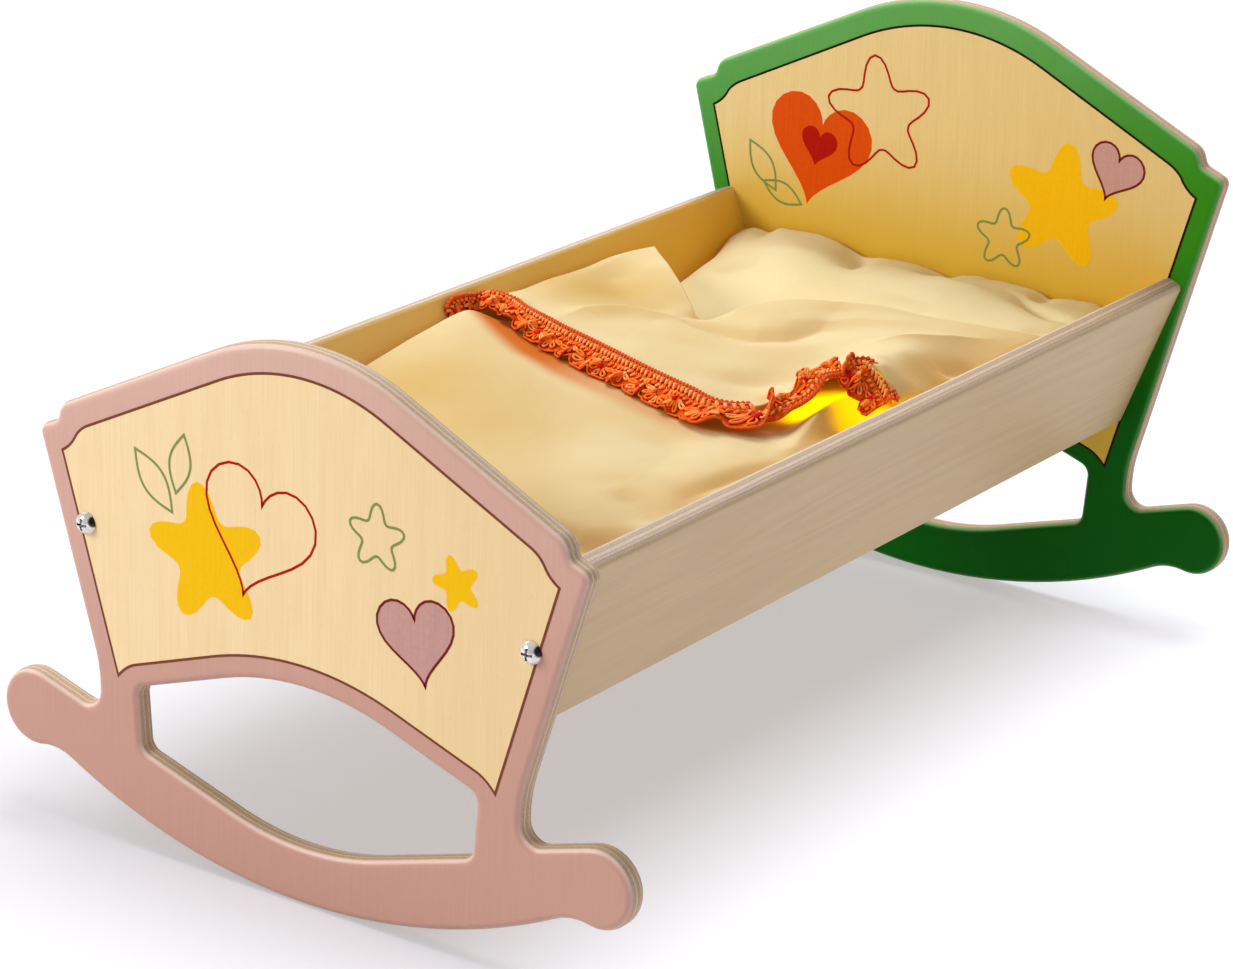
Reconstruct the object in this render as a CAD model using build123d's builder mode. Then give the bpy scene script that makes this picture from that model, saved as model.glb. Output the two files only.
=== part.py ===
from build123d import *
import os
from math import acos, asin, atan2, cos, hypot, radians, sin, tan

# Doll cradle of birch plywood: two rocker end boards, two flared side boards, a base board and bedding.
# X runs across the cradle, Y from the foot end to the head end, Z up.
# The origin lies on the floor under the middle of the cradle, at the rockers' lowest line.

# Overall sizes
cradle_length = 500.0
board_thick = 10.0
board_round = 3.4
overrun = 5.0

# Rocker and horns, shared by both end boards
rocker_radius = 275.0
rocker_half_span = 125.0
horn_reach = 20.0
horn_rise = 18.75
horn_radius = 17.0
horn_top_slope = 16.7
horn_under_angle = 9.0
horn_notch_radius = 7.5

# Legs
leg_half_width = 108.5
leg_straight = 20.6
flare_round = 60.0

# Window under each panel
window_top = 94.8
window_bottom = 25.0
window_arch_radius = 130.0
window_floor_radius = 130.0
window_arch_lean = 18.93
window_floor_lean = 16.83
leg_width_at_head = 21.5
leg_width_at_sill = 23.5
window_corner_round = 5.5

# Where the rocker meets the horns, and the horns meet the legs
rocker_angle = asin(rocker_half_span / rocker_radius)
rocker_end = (rocker_half_span, rocker_radius * (1 - cos(rocker_angle)))
horn_centre = (rocker_end[0] + horn_reach, rocker_end[1] + horn_rise)
horn_over = radians(horn_top_slope)
horn_top = (horn_centre[0] - horn_radius * sin(horn_over), horn_centre[1] + horn_radius * cos(horn_over))
leg_foot_z = horn_top[1] - (horn_top[0] - leg_half_width) * tan(horn_over)
flare_start_z = leg_foot_z + leg_straight


class EndShape:
    """One end board's upper outline. Drops are below the crown's top, insets are in from the corner."""

    def __init__(self, crown_top, crown_radius, flare_slope, corner_drop, step, shoulder):
        self.crown_top = crown_top
        self.crown_radius = crown_radius
        corner_z = crown_top - corner_drop
        corner_x = leg_half_width + flare_slope * (corner_z - flare_start_z)
        self.corner = (corner_x, corner_z)
        self.step = (corner_x - step[0], crown_top - step[1])
        self.shoulder = (corner_x - shoulder[0], crown_top - shoulder[1])


# Each step and shoulder is an inset and a drop
foot_shape = EndShape(
    crown_top=237.0,
    crown_radius=107.0,
    flare_slope=0.306,
    corner_drop=61.1,
    step=(10.1, 57.1),
    shoulder=(11.7, 49.9),
)
head_shape = EndShape(
    crown_top=288.0,
    crown_radius=125.0,
    flare_slope=0.263,
    corner_drop=62.1,
    step=(12.5, 56.9),
    shoulder=(14.7, 49.6),
)
corner_round = 4.4
step_round = 4.0
shoulder_round = 8.8

# Side boards, leaning outwards between the end boards
side_thick = 10.0
side_height = 79.0
side_tilt = 20.6
side_foot_inset = 5.6
side_foot_z = 99.0
side_round = 2.6

# Base board, held in grooves in the side boards
base_thick = 4.0
base_underside = 108.0
groove_depth = 5.0
groove_clearance = 0.2
base_end_clearance = 0.3

# Connecting bolts and their barrel nuts, one at each joint
bolt_from_top = 38.0
bolt_diameter = 5.0
bolt_length = 42.0
bolt_head_diameter = 10.0
bolt_head_height = 3.9
recess_length = 5.2
recess_width = 1.1
recess_depth = 2.0
bolt_hole_diameter = 5.5
nut_from_end = 24.0
nut_diameter = 8.0
nut_length = 8.0
nut_bore_clearance = 0.1
nut_hole_depth = 9.0
nut_hole_clearance = 0.1

# Dowels, two at each joint
dowel_diameter = 6.0
dowel_length = 24.0
dowel_in_end_board = 7.0
dowel_clearance = 0.1
dowel_upper_from_top = 13.0
dowel_lower_from_top = 64.0

# Bedding
bedding_gap = 0.5
rest_gap = 0.3
mattress_thick = 20.0
cover_thick = 1.0
foam_clearance = 0.2
mattress_round = 4.0
pillow_front_y = 116.0
pillow_front_height = 11.0
pillow_middle_height = 29.0
pillow_back_height = 24.0
pillow_middle_y = 185.0
pillow_side_gap = 1.6
pillow_pull_in = 4.0
pillow_edge_height = 8.0
pillow_thin_edge_height = 4.0
duvet_fold_y = 112.0
duvet_foot_height = 31.0
duvet_middle_height = 35.0
duvet_fold_height = 32.0
duvet_side_height = 27.0
duvet_middle_y = -60.0
flap_thick = 6.0
flap_left_y = 14.0
flap_low_x = 62.0
flap_low_y = -44.0
flap_right_y = 12.0
lace_width = 13.0
lace_thick = 1.6
lace_side_inset = 7.0

# Places worked out from the sizes above
end_y = cradle_length / 2
inner_y = end_y - board_thick
tilt = radians(side_tilt)
side_foot_x = leg_half_width - side_foot_inset
side_up = (sin(tilt), cos(tilt))
side_in = (-cos(tilt), sin(tilt))
side_middle_foot = (side_foot_x + side_in[0] * side_thick / 2, side_foot_z + side_in[1] * side_thick / 2)
base_top = base_underside + base_thick
mattress_floor = base_top + rest_gap
mattress_top = mattress_floor + mattress_thick
bed_floor = mattress_top + rest_gap
bed_end_y = inner_y - bedding_gap


def on_side_middle(from_top):
    """Half width and height of a place on the side board's middle plane."""
    up = side_height - from_top
    return (side_middle_foot[0] + side_up[0] * up, side_middle_foot[1] + side_up[1] * up)


def inner_face_x(height):
    """Half width between the side boards' inner faces at a height."""
    return side_foot_x - side_thick / cos(tilt) + (height - side_foot_z) * tan(tilt)


def touch_point(centre_z, radius, point):
    """Where a line from a point touches the upper side of a circle on the centre line."""
    away = hypot(point[0], point[1] - centre_z)
    angle = atan2(point[1] - centre_z, point[0]) + acos(radius / away)
    return (radius * cos(angle), centre_z + radius * sin(angle))


bolt_place = on_side_middle(bolt_from_top)
dowel_places = [on_side_middle(dowel_upper_from_top), on_side_middle(dowel_lower_from_top)]


def draw_end_board(shape):
    """Right half of an end board's outline, from the floor up to the crown, then mirrored."""
    rocker_middle = (rocker_radius * sin(rocker_angle / 2), rocker_radius * (1 - cos(rocker_angle / 2)))
    under = radians(horn_under_angle)
    horn_under = (horn_centre[0] - horn_radius * sin(under), horn_centre[1] - horn_radius * cos(under))
    crown_centre_z = shape.crown_top - shape.crown_radius
    crown_end = touch_point(crown_centre_z, shape.crown_radius, shape.shoulder)
    crown_turn = atan2(crown_end[0], crown_end[1] - crown_centre_z) / 2
    crown_middle = (
        shape.crown_radius * sin(crown_turn),
        crown_centre_z + shape.crown_radius * cos(crown_turn),
    )
    with BuildLine() as outline:
        ThreePointArc((0, 0), rocker_middle, rocker_end)
        TangentArc(rocker_end, horn_under, tangent=(cos(rocker_angle), sin(rocker_angle)))
        ThreePointArc(horn_under, (horn_centre[0] + horn_radius, horn_centre[1]), horn_top)
        FilletPolyline(
            horn_top,
            (leg_half_width, leg_foot_z),
            (leg_half_width, flare_start_z),
            shape.corner,
            shape.step,
            shape.shoulder,
            crown_end,
            radius=[horn_notch_radius, flare_round, corner_round, step_round, shoulder_round],
        )
        ThreePointArc(crown_end, crown_middle, (0, shape.crown_top))
        mirror(about=Plane.YZ)
    return outline


def draw_window():
    """Right half of the window's outline, then mirrored."""
    arch_lean = radians(window_arch_lean)
    floor_lean = radians(window_floor_lean)
    arch_end = (window_arch_radius * sin(arch_lean), window_top - window_arch_radius * (1 - cos(arch_lean)))
    floor_end = (
        window_floor_radius * sin(floor_lean),
        window_bottom + window_floor_radius * (1 - cos(floor_lean)),
    )
    head_x = leg_half_width - leg_width_at_head
    sill_x = leg_half_width - leg_width_at_sill
    head_corner = (head_x, arch_end[1] - (head_x - arch_end[0]) * tan(arch_lean))
    sill_corner = (sill_x, floor_end[1] + (sill_x - floor_end[0]) * tan(floor_lean))
    arch_middle = (
        window_arch_radius * sin(arch_lean / 2),
        window_top - window_arch_radius * (1 - cos(arch_lean / 2)),
    )
    floor_middle = (
        window_floor_radius * sin(floor_lean / 2),
        window_bottom + window_floor_radius * (1 - cos(floor_lean / 2)),
    )
    with BuildLine() as outline:
        ThreePointArc((0, window_bottom), floor_middle, floor_end)
        FilletPolyline(floor_end, sill_corner, head_corner, arch_end, radius=window_corner_round)
        ThreePointArc(arch_end, arch_middle, (0, window_top))
        mirror(about=Plane.YZ)
    return outline


os.makedirs("parts", exist_ok=True)


def save(piece, name):
    """Label one finished piece and write it."""
    piece.part.label = name
    export_step(piece.part, f"parts/{name}.step")


# End boards with rounded edges, bored for the bolts and dowels
window_line = draw_window()
joint_sides = (("left", -1), ("right", 1))
for end_name, outward, shape in (("foot", -1, foot_shape), ("head", 1, head_shape)):
    board_line = draw_end_board(shape)
    with BuildPart() as end_board:
        with BuildSketch(Plane.XZ.offset(-end_y if outward > 0 else inner_y)):
            with BuildLine():
                add(board_line.line)
            make_face()
            with BuildLine():
                add(window_line.line)
            make_face(mode=Mode.SUBTRACT)
        extrude(amount=board_thick)
        flat_faces = end_board.faces().filter_by(Axis.Y)
        fillet(flat_faces.edges(), radius=board_round)
        with BuildSketch(Plane.XZ.offset(-outward * inner_y)):
            with Locations(*[(sign * bolt_place[0], bolt_place[1]) for side_name, sign in joint_sides]):
                Circle(bolt_hole_diameter / 2)
        extrude(amount=board_thick + overrun, both=True, mode=Mode.SUBTRACT)
        with BuildSketch(Plane.XZ.offset(-outward * inner_y)):
            for place in dowel_places:
                with Locations(*[(sign * place[0], place[1]) for side_name, sign in joint_sides]):
                    Circle(dowel_diameter / 2 + dowel_clearance / 2)
        extrude(amount=-outward * (dowel_in_end_board + dowel_clearance), mode=Mode.SUBTRACT)
    save(end_board, f"{end_name}_board")

# Side boards: a leaning cross-section drawn once and run the length between the end boards
side_length = 2 * inner_y
for side_name, sign in joint_sides:
    lower = (side_foot_x, side_foot_z)
    upper = (lower[0] + side_up[0] * side_height, lower[1] + side_up[1] * side_height)
    upper_in = (upper[0] + side_in[0] * side_thick, upper[1] + side_in[1] * side_thick)
    lower_in = (lower[0] + side_in[0] * side_thick, lower[1] + side_in[1] * side_thick)
    corners = [(sign * corner[0], corner[1]) for corner in (lower, upper, upper_in, lower_in)]
    groove_height = base_thick + 2 * groove_clearance
    groove_floor_x = inner_face_x(base_top) + groove_depth
    with BuildPart() as side_board:
        with BuildSketch(Plane.XZ.offset(-inner_y)):
            with BuildLine():
                Polyline(*corners, close=True)
            make_face()
        extrude(amount=side_length)
        fillet(side_board.edges().filter_by(Axis.Y), radius=side_round)
        with BuildSketch(Plane.XZ.offset(-inner_y)):
            with Locations((0, base_underside + base_thick / 2)):
                Rectangle(2 * groove_floor_x, groove_height)
        extrude(amount=side_length, mode=Mode.SUBTRACT)
        for outward in (-1, 1):
            with BuildSketch(Plane.XZ.offset(-outward * inner_y)):
                with Locations((sign * bolt_place[0], bolt_place[1])):
                    Circle(bolt_hole_diameter / 2)
            extrude(amount=outward * (bolt_length - board_thick + overrun), mode=Mode.SUBTRACT)
            with BuildSketch(Plane.XZ.offset(-outward * inner_y)):
                with Locations(*[(sign * place[0], place[1]) for place in dowel_places]):
                    Circle(dowel_diameter / 2 + dowel_clearance / 2)
            dowel_depth = dowel_length - dowel_in_end_board + dowel_clearance
            extrude(amount=outward * dowel_depth, mode=Mode.SUBTRACT)
            nut_hole = Plane(
                (
                    sign * (bolt_place[0] + side_in[0] * side_thick / 2),
                    outward * (inner_y - nut_from_end),
                    bolt_place[1] + side_in[1] * side_thick / 2,
                ),
                z_dir=(sign * side_in[0], 0, side_in[1]),
            )
            with BuildSketch(nut_hole):
                Circle(nut_diameter / 2 + nut_hole_clearance / 2)
            extrude(amount=-nut_hole_depth, mode=Mode.SUBTRACT)
    save(side_board, f"side_board_{side_name}")

# Base board, its long edges in the side boards' grooves
base_half_width = inner_face_x(base_top) + groove_depth - groove_clearance
with BuildPart() as base_board:
    with BuildSketch(Plane.XY.offset(base_underside)):
        Rectangle(2 * base_half_width, 2 * (inner_y - base_end_clearance))
    extrude(amount=base_thick)
save(base_board, "base_board")

# Hardware at the four joints
for end_name, outward in (("foot", -1), ("head", 1)):
    for side_name, sign in joint_sides:
        joint_name = f"{end_name}_{side_name}"
        bolt_x = sign * bolt_place[0]
        into_board = Plane((bolt_x, outward * end_y, bolt_place[1]), x_dir=(1, 0, 0), z_dir=(0, -outward, 0))
        head_radius = bolt_head_diameter / 2
        dome_radius = (head_radius**2 + bolt_head_height**2) / (2 * bolt_head_height)
        dome_lean = atan2(head_radius, dome_radius - bolt_head_height) / 2
        dome_middle = (dome_radius * sin(dome_lean), dome_radius * (1 - cos(dome_lean)) - bolt_head_height)
        with BuildPart() as bolt:
            with BuildSketch(into_board):
                Circle(bolt_diameter / 2)
            extrude(amount=bolt_length)
            with BuildSketch(Plane(into_board.origin, x_dir=(1, 0, 0), z_dir=(0, 0, 1))):
                with BuildLine():
                    ThreePointArc(
                        (0, outward * bolt_head_height),
                        (dome_middle[0], -outward * dome_middle[1]),
                        (head_radius, 0),
                    )
                    Polyline((head_radius, 0), (0, 0), (0, outward * bolt_head_height))
                make_face()
            revolve(axis=Axis(into_board.origin, (0, 1, 0)))
            with BuildSketch(into_board.offset(-bolt_head_height)):
                Rectangle(recess_length, recess_width)
                Rectangle(recess_width, recess_length)
            extrude(amount=recess_depth, mode=Mode.SUBTRACT)
        save(bolt, f"connecting_bolt_{joint_name}")

        nut_middle = Plane(
            (bolt_x, outward * (inner_y - nut_from_end), bolt_place[1]),
            z_dir=(sign * side_in[0], 0, side_in[1]),
        )
        with BuildPart() as barrel_nut:
            with BuildSketch(nut_middle):
                Circle(nut_diameter / 2)
            extrude(amount=nut_length / 2, both=True)
            with BuildSketch(into_board):
                Circle(bolt_diameter / 2 + nut_bore_clearance / 2)
            extrude(amount=bolt_length + overrun, mode=Mode.SUBTRACT)
        save(barrel_nut, f"barrel_nut_{joint_name}")

        with BuildPart() as dowels:
            with BuildSketch(Plane.XZ.offset(-outward * (inner_y + dowel_in_end_board))):
                with Locations(*[(sign * place[0], place[1]) for place in dowel_places]):
                    Circle(dowel_diameter / 2)
            extrude(amount=outward * dowel_length)
        save(dowels, f"dowels_{joint_name}")

# Mattress: a foam core in a thin cover, its long sides leaning with the side boards
def bed_section(gap, cut):
    """Corners of the mattress section, a gap in from the side boards and cut thinner by a layer."""
    low = inner_face_x(mattress_floor + cut) - gap
    high = inner_face_x(mattress_top - cut) - gap
    bottom = mattress_floor + cut
    top = mattress_top - cut
    return [(-low, bottom), (low, bottom), (high, top), (-high, top)]


foam_inset = cover_thick + foam_clearance
with BuildPart() as mattress_cover:
    with BuildSketch(Plane.XZ.offset(-bed_end_y)):
        with BuildLine():
            Polyline(*bed_section(bedding_gap, 0), close=True)
        make_face()
    extrude(amount=2 * bed_end_y)
    fillet(mattress_cover.edges().filter_by(Axis.Y), radius=mattress_round)
    with BuildSketch(Plane.XZ.offset(-bed_end_y + cover_thick)):
        with BuildLine():
            Polyline(*bed_section(bedding_gap + cover_thick, cover_thick), close=True)
        make_face()
        fillet(vertices(), radius=mattress_round - cover_thick)
    extrude(amount=2 * (bed_end_y - cover_thick), mode=Mode.SUBTRACT)
save(mattress_cover, "mattress_cover")

with BuildPart() as mattress_foam:
    with BuildSketch(Plane.XZ.offset(-bed_end_y + foam_inset)):
        with BuildLine():
            Polyline(*bed_section(bedding_gap + foam_inset, foam_inset), close=True)
        make_face()
        fillet(vertices(), radius=mattress_round - foam_inset)
    extrude(amount=2 * (bed_end_y - foam_inset))
save(mattress_foam, "mattress_foam")


def cushion_section(y, half_width, edge_height, height):
    """One cross-section of a cushion: flat below, short sides, an arched top."""
    side_lean = edge_height * tan(tilt)
    with BuildSketch(Plane.XZ.offset(-y)) as section:
        with BuildLine():
            Polyline(
                (-half_width - side_lean, bed_floor + edge_height),
                (-half_width, bed_floor),
                (half_width, bed_floor),
                (half_width + side_lean, bed_floor + edge_height),
            )
            ThreePointArc(
                (half_width + side_lean, bed_floor + edge_height),
                (0, bed_floor + height),
                (-half_width - side_lean, bed_floor + edge_height),
            )
        make_face()
    return section.sketch


# Pillow: crowned, its sides drawn in between the corners
pillow_half_width = inner_face_x(bed_floor) - pillow_side_gap
pillow_stations = (
    (pillow_front_y, pillow_half_width, pillow_thin_edge_height, pillow_front_height),
    (pillow_middle_y, pillow_half_width - pillow_pull_in, pillow_edge_height, pillow_middle_height),
    (bed_end_y, pillow_half_width, pillow_edge_height, pillow_back_height),
)
with BuildPart() as pillow:
    for station in pillow_stations:
        add(cushion_section(*station))
    loft()
save(pillow, "pillow")

# Duvet: a plump quilt whose head end folds back as a second layer
duvet_half_width = inner_face_x(bed_floor) - bedding_gap
duvet_stations = (
    (-bed_end_y, duvet_half_width, duvet_side_height, duvet_foot_height),
    (duvet_middle_y, duvet_half_width, duvet_side_height, duvet_middle_height),
    (duvet_fold_y, duvet_half_width, duvet_side_height, duvet_fold_height),
)
with BuildPart() as quilt:
    for station in duvet_stations:
        add(cushion_section(*station))
    loft()

free_edge = ((-duvet_half_width, flap_left_y), (flap_low_x, flap_low_y), (duvet_half_width, flap_right_y))
wide = duvet_half_width + duvet_side_height
with BuildPart() as flap:
    with Locations((0, 0, flap_thick)):
        add(quilt.part)
    with BuildSketch(Plane.XY.offset(bed_floor)):
        with BuildLine():
            Polyline(
                (-wide, duvet_fold_y),
                (-wide, flap_left_y),
                *free_edge,
                (wide, flap_right_y),
                (wide, duvet_fold_y),
                close=True,
            )
        make_face()
    extrude(amount=duvet_middle_height + flap_thick + overrun, mode=Mode.INTERSECT)

with BuildPart() as duvet:
    add(quilt.part)
    add(flap.part)
save(duvet, "duvet")

# Lace trim along the flap's free edge
lace_ends_x = duvet_half_width - lace_side_inset
with BuildPart() as lace_trim:
    with Locations((0, 0, flap_thick + lace_thick)):
        add(quilt.part)
    with Locations((0, 0, flap_thick)):
        add(quilt.part, mode=Mode.SUBTRACT)
    with BuildSketch(Plane.XY.offset(bed_floor)):
        with BuildLine():
            Polyline(
                (-lace_ends_x, flap_left_y),
                (flap_low_x, flap_low_y),
                (lace_ends_x, flap_right_y),
                (lace_ends_x, flap_right_y + lace_width),
                (flap_low_x, flap_low_y + lace_width),
                (-lace_ends_x, flap_left_y + lace_width),
                close=True,
            )
        make_face()
    extrude(amount=duvet_middle_height + flap_thick + overrun, mode=Mode.INTERSECT)
save(lace_trim, "lace_trim")
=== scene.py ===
from collections import namedtuple
from math import atan, atan2, cos, degrees, hypot, pi, radians, sin, tan

import bmesh
import bpy
import numpy as np
from mathutils import Matrix, Vector, noise


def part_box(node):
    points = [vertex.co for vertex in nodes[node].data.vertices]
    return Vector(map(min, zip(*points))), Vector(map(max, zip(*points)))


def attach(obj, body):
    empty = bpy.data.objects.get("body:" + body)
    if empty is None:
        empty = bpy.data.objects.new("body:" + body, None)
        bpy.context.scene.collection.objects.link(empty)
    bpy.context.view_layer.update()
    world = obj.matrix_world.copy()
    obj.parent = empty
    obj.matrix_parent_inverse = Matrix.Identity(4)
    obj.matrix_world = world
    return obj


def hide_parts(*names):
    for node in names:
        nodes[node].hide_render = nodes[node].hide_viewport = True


# Doll cradle: the looks. Metres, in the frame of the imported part.
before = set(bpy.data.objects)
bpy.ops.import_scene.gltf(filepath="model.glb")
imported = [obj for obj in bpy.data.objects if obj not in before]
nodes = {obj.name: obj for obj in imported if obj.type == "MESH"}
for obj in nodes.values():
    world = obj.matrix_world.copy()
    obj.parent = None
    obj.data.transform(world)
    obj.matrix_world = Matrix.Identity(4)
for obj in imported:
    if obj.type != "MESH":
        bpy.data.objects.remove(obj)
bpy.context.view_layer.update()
mm = 0.001

# The end boards' places, read from the frame
foot_low, foot_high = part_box("foot_board")
head_low, head_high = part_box("head_board")
board_thick = foot_high.y - foot_low.y
# The side boards lean outwards: at the height side_foot_z their outer faces are side_foot_x off the middle
side_tilt = radians(20.6)
side_foot_x = 102.9 * mm
side_foot_z = 99.0 * mm
side_thick = 10.0 * mm


# Node helpers


def feed(tree, socket, value):
    """Links a socket to another one, or sets its value."""
    if isinstance(value, bpy.types.NodeSocket):
        tree.links.new(value, socket)
    else:
        socket.default_value = value


def add_node(tree, kind, inputs=None, **settings):
    """A node with its settings, each input either linked to a socket or set to a value."""
    node = tree.nodes.new(kind)
    for key, value in settings.items():
        setattr(node, key, value)
    for key, value in (inputs or {}).items():
        feed(tree, node.inputs[key], value)
    return node


def calc(tree, operation, *values):
    return add_node(tree, "ShaderNodeMath", dict(enumerate(values)), operation=operation).outputs[0]


def plus(tree, value, amount):
    return calc(tree, "ADD", value, amount)


def times(tree, value, factor):
    return calc(tree, "MULTIPLY", value, factor)


def mix_colour(tree, share, first, second, blend_type="MIX"):
    inputs = {0: share, 6: first, 7: second}
    return add_node(tree, "ShaderNodeMix", inputs, data_type="RGBA", blend_type=blend_type).outputs[2]


def remap(tree, value, low, high, to_low=0.0, to_high=1.0, smooth=True):
    inputs = {0: value, 1: low, 2: high, 3: to_low, 4: to_high}
    kind = "SMOOTHSTEP" if smooth else "LINEAR"
    return add_node(tree, "ShaderNodeMapRange", inputs, interpolation_type=kind).outputs[0]


def ramp(tree, value, stops, interpolation="LINEAR"):
    """A colour ramp from (position, colour) stops."""
    node = add_node(tree, "ShaderNodeValToRGB", {0: value})
    node.color_ramp.interpolation = interpolation
    elements = node.color_ramp.elements
    while len(elements) < len(stops):
        elements.new(0.5)
    for element, (position, colour) in zip(elements, stops):
        element.position = position
        element.color = colour
    return node.outputs[0]


def scaled(tree, vector, scale):
    return add_node(tree, "ShaderNodeMapping", {"Vector": vector, "Scale": scale}).outputs[0]


def noise_at(tree, vector, scale, detail=2.0, roughness=0.5, distortion=0.0):
    inputs = dict(Vector=vector, Scale=scale, Detail=detail, Roughness=roughness, Distortion=distortion)
    return add_node(tree, "ShaderNodeTexNoise", inputs).outputs[0]


def parts_of(tree, vector):
    """The x, y and z of a vector."""
    return add_node(tree, "ShaderNodeSeparateXYZ", {0: vector}).outputs


def reordered(tree, parts, order):
    """A vector from the parts of another one, taken in a new order."""
    inputs = {number: parts[axis] for number, axis in enumerate(order)}
    return add_node(tree, "ShaderNodeCombineXYZ", inputs).outputs[0]


def measure(tree, operation, vector, other):
    """One value from two vectors, such as their distance."""
    node = add_node(tree, "ShaderNodeVectorMath", {0: vector, 1: other}, operation=operation)
    return node.outputs["Value"]


def openness(tree, reach):
    """1 where a place is open all round within a reach, down to 0 in a closed recess."""
    return add_node(tree, "ShaderNodeAmbientOcclusion", {"Distance": reach}, samples=6).outputs["AO"]


def rgb(red, green, blue):
    """A linear colour from an 8 bit display colour."""
    shares = [value / 255 for value in (red, green, blue)]
    return tuple(s / 12.92 if s <= 0.04045 else ((s + 0.055) / 1.055) ** 2.4 for s in shares) + (1.0,)


def new_group(name, inputs, outputs):
    """An empty shader node group with named sockets, and its input and output nodes."""
    group = bpy.data.node_groups.new(name, "ShaderNodeTree")
    for socket_name, kind, default in inputs:
        socket = group.interface.new_socket(socket_name, in_out="INPUT", socket_type=kind)
        if default is not None:
            socket.default_value = default
    for socket_name, kind in outputs:
        group.interface.new_socket(socket_name, in_out="OUTPUT", socket_type=kind)
    return group, group.nodes.new("NodeGroupInput").outputs, group.nodes.new("NodeGroupOutput").inputs


def use_group(tree, group, inputs):
    return add_node(tree, "ShaderNodeGroup", inputs, node_tree=group).outputs


FLOAT, VECTOR, COLOUR = "NodeSocketFloat", "NodeSocketVector", "NodeSocketColor"


# Shared effects

# Veneer: how fast its fibres, figure, ripple and flecks change across and along the grain
fibre_scale = (1.5, 1.5, 0.025)
figure_scale = (0.026, 0.026, 0.0022)
ripple_scale = (0.22, 0.22, 0.03)
fleck_scale = (2.4, 2.4, 0.30)
figure_rings = 60.0
# Plywood edge: its tones across two layers, from glue line to glue line
glue_line = rgb(160, 126, 102)
ply_tones = [
    (0.0, glue_line),
    (0.06, rgb(216, 190, 158)),
    (0.44, rgb(222, 198, 166)),
    (0.50, rgb(162, 128, 104)),
    (0.56, rgb(196, 164, 136)),
    (0.94, rgb(202, 172, 146)),
    (1.0, glue_line),
]
ply_wander = 0.05
face_wear = 0.10


def make_birch_grain():
    """Birch face veneer. Position is in millimetres with the grain along its Z."""
    group, given, result = new_group(
        "birch_grain",
        [("Position", VECTOR, None), ("Figure Size", FLOAT, 1.0)],
        [("Fibre", FLOAT), ("Figure", FLOAT), ("Fleck", FLOAT)],
    )
    position = given["Position"]
    fibre = noise_at(group, scaled(group, position, fibre_scale), 1.0, 4.0, 0.6)
    sway = noise_at(group, scaled(group, position, figure_scale), given["Figure Size"], 1.0, 0.4, 0.3)
    rings = calc(group, "SINE", times(group, sway, figure_rings))
    ripple = noise_at(group, scaled(group, position, ripple_scale), 1.0, 2.0)
    figure = plus(group, times(group, rings, 0.18), times(group, ripple, 0.70))
    dash = noise_at(group, scaled(group, position, fleck_scale), 1.0, 1.0)
    group.links.new(remap(group, fibre, 0.3, 0.7), result["Fibre"])
    group.links.new(remap(group, figure, -0.1, 0.8), result["Figure"])
    group.links.new(remap(group, dash, 0.66, 0.78), result["Fleck"])
    return group


def make_ply_edge():
    """Layers of plywood seen on an edge. Depth is the share of the board's thickness from one face."""
    group, given, result = new_group(
        "ply_edge",
        [("Depth", FLOAT, 0.5), ("Position", VECTOR, None), ("Layers", FLOAT, 7.0)],
        [("Colour", COLOUR), ("Rough", FLOAT)],
    )
    drift = noise_at(group, given["Position"], 0.05, 1.0)
    wander = times(group, calc(group, "SUBTRACT", drift, 0.5), ply_wander)
    level = times(group, plus(group, given["Depth"], wander), given["Layers"])
    bands = ramp(group, calc(group, "FRACT", times(group, level, 0.5)), ply_tones)
    specks = noise_at(group, given["Position"], 1.6, 3.0, 0.7)
    shade = remap(group, specks, 0.35, 0.65, 0.80, 1.06)
    group.links.new(mix_colour(group, 1.0, bands, shade, "MULTIPLY"), result["Colour"])
    group.links.new(remap(group, specks, 0.3, 0.7, 0.55, 0.8), result["Rough"])
    return group


def make_face_mask():
    """1 on a board's broad faces, 0 on its edges, from how far the normal leaves the thickness axis."""
    group, given, result = new_group(
        "face_mask",
        [
            ("Normal", VECTOR, None),
            ("Axis", VECTOR, (0.0, 1.0, 0.0)),
            ("Start", FLOAT, 0.55),
            ("Fade", FLOAT, 0.2),
            ("Position", VECTOR, None),
        ],
        [("Mask", FLOAT), ("Facing", FLOAT)],
    )
    facing = calc(group, "ABSOLUTE", measure(group, "DOT_PRODUCT", given["Normal"], given["Axis"]))
    wear = noise_at(group, given["Position"], 0.35, 3.0, 0.6)
    ragged = plus(group, facing, times(group, calc(group, "SUBTRACT", wear, 0.5), face_wear))
    high = plus(group, given["Start"], given["Fade"])
    group.links.new(remap(group, ragged, given["Start"], high), result["Mask"])
    group.links.new(facing, result["Facing"])
    return group


def make_cotton_weave():
    """Plain weave and soft creases. Position is in millimetres, Threads is their number in each."""
    group, given, result = new_group(
        "cotton_weave",
        [("Position", VECTOR, None), ("Threads", FLOAT, 2.6)],
        [("Height", FLOAT), ("Crease", FLOAT), ("Cloud", FLOAT)],
    )
    place = parts_of(group, given["Position"])
    pace = times(group, given["Threads"], 2 * pi)
    warp = calc(group, "SINE", times(group, place[0], pace))
    weft = calc(group, "SINE", times(group, plus(group, place[1], place[2]), pace))
    creases = noise_at(group, scaled(group, given["Position"], (0.05, 0.035, 0.05)), 1.0, 3.0, 0.55, 0.8)
    group.links.new(times(group, warp, weft), result["Height"])
    group.links.new(creases, result["Crease"])
    group.links.new(noise_at(group, given["Position"], 0.02, 2.0), result["Cloud"])
    return group


birch_grain = make_birch_grain()
ply_edge = make_ply_edge()
face_mask = make_face_mask()
cotton_weave = make_cotton_weave()


# Materials

# Layers of plywood in the end and side boards, and in the base board
board_layers, base_layers = 7.0, 3.0
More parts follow.
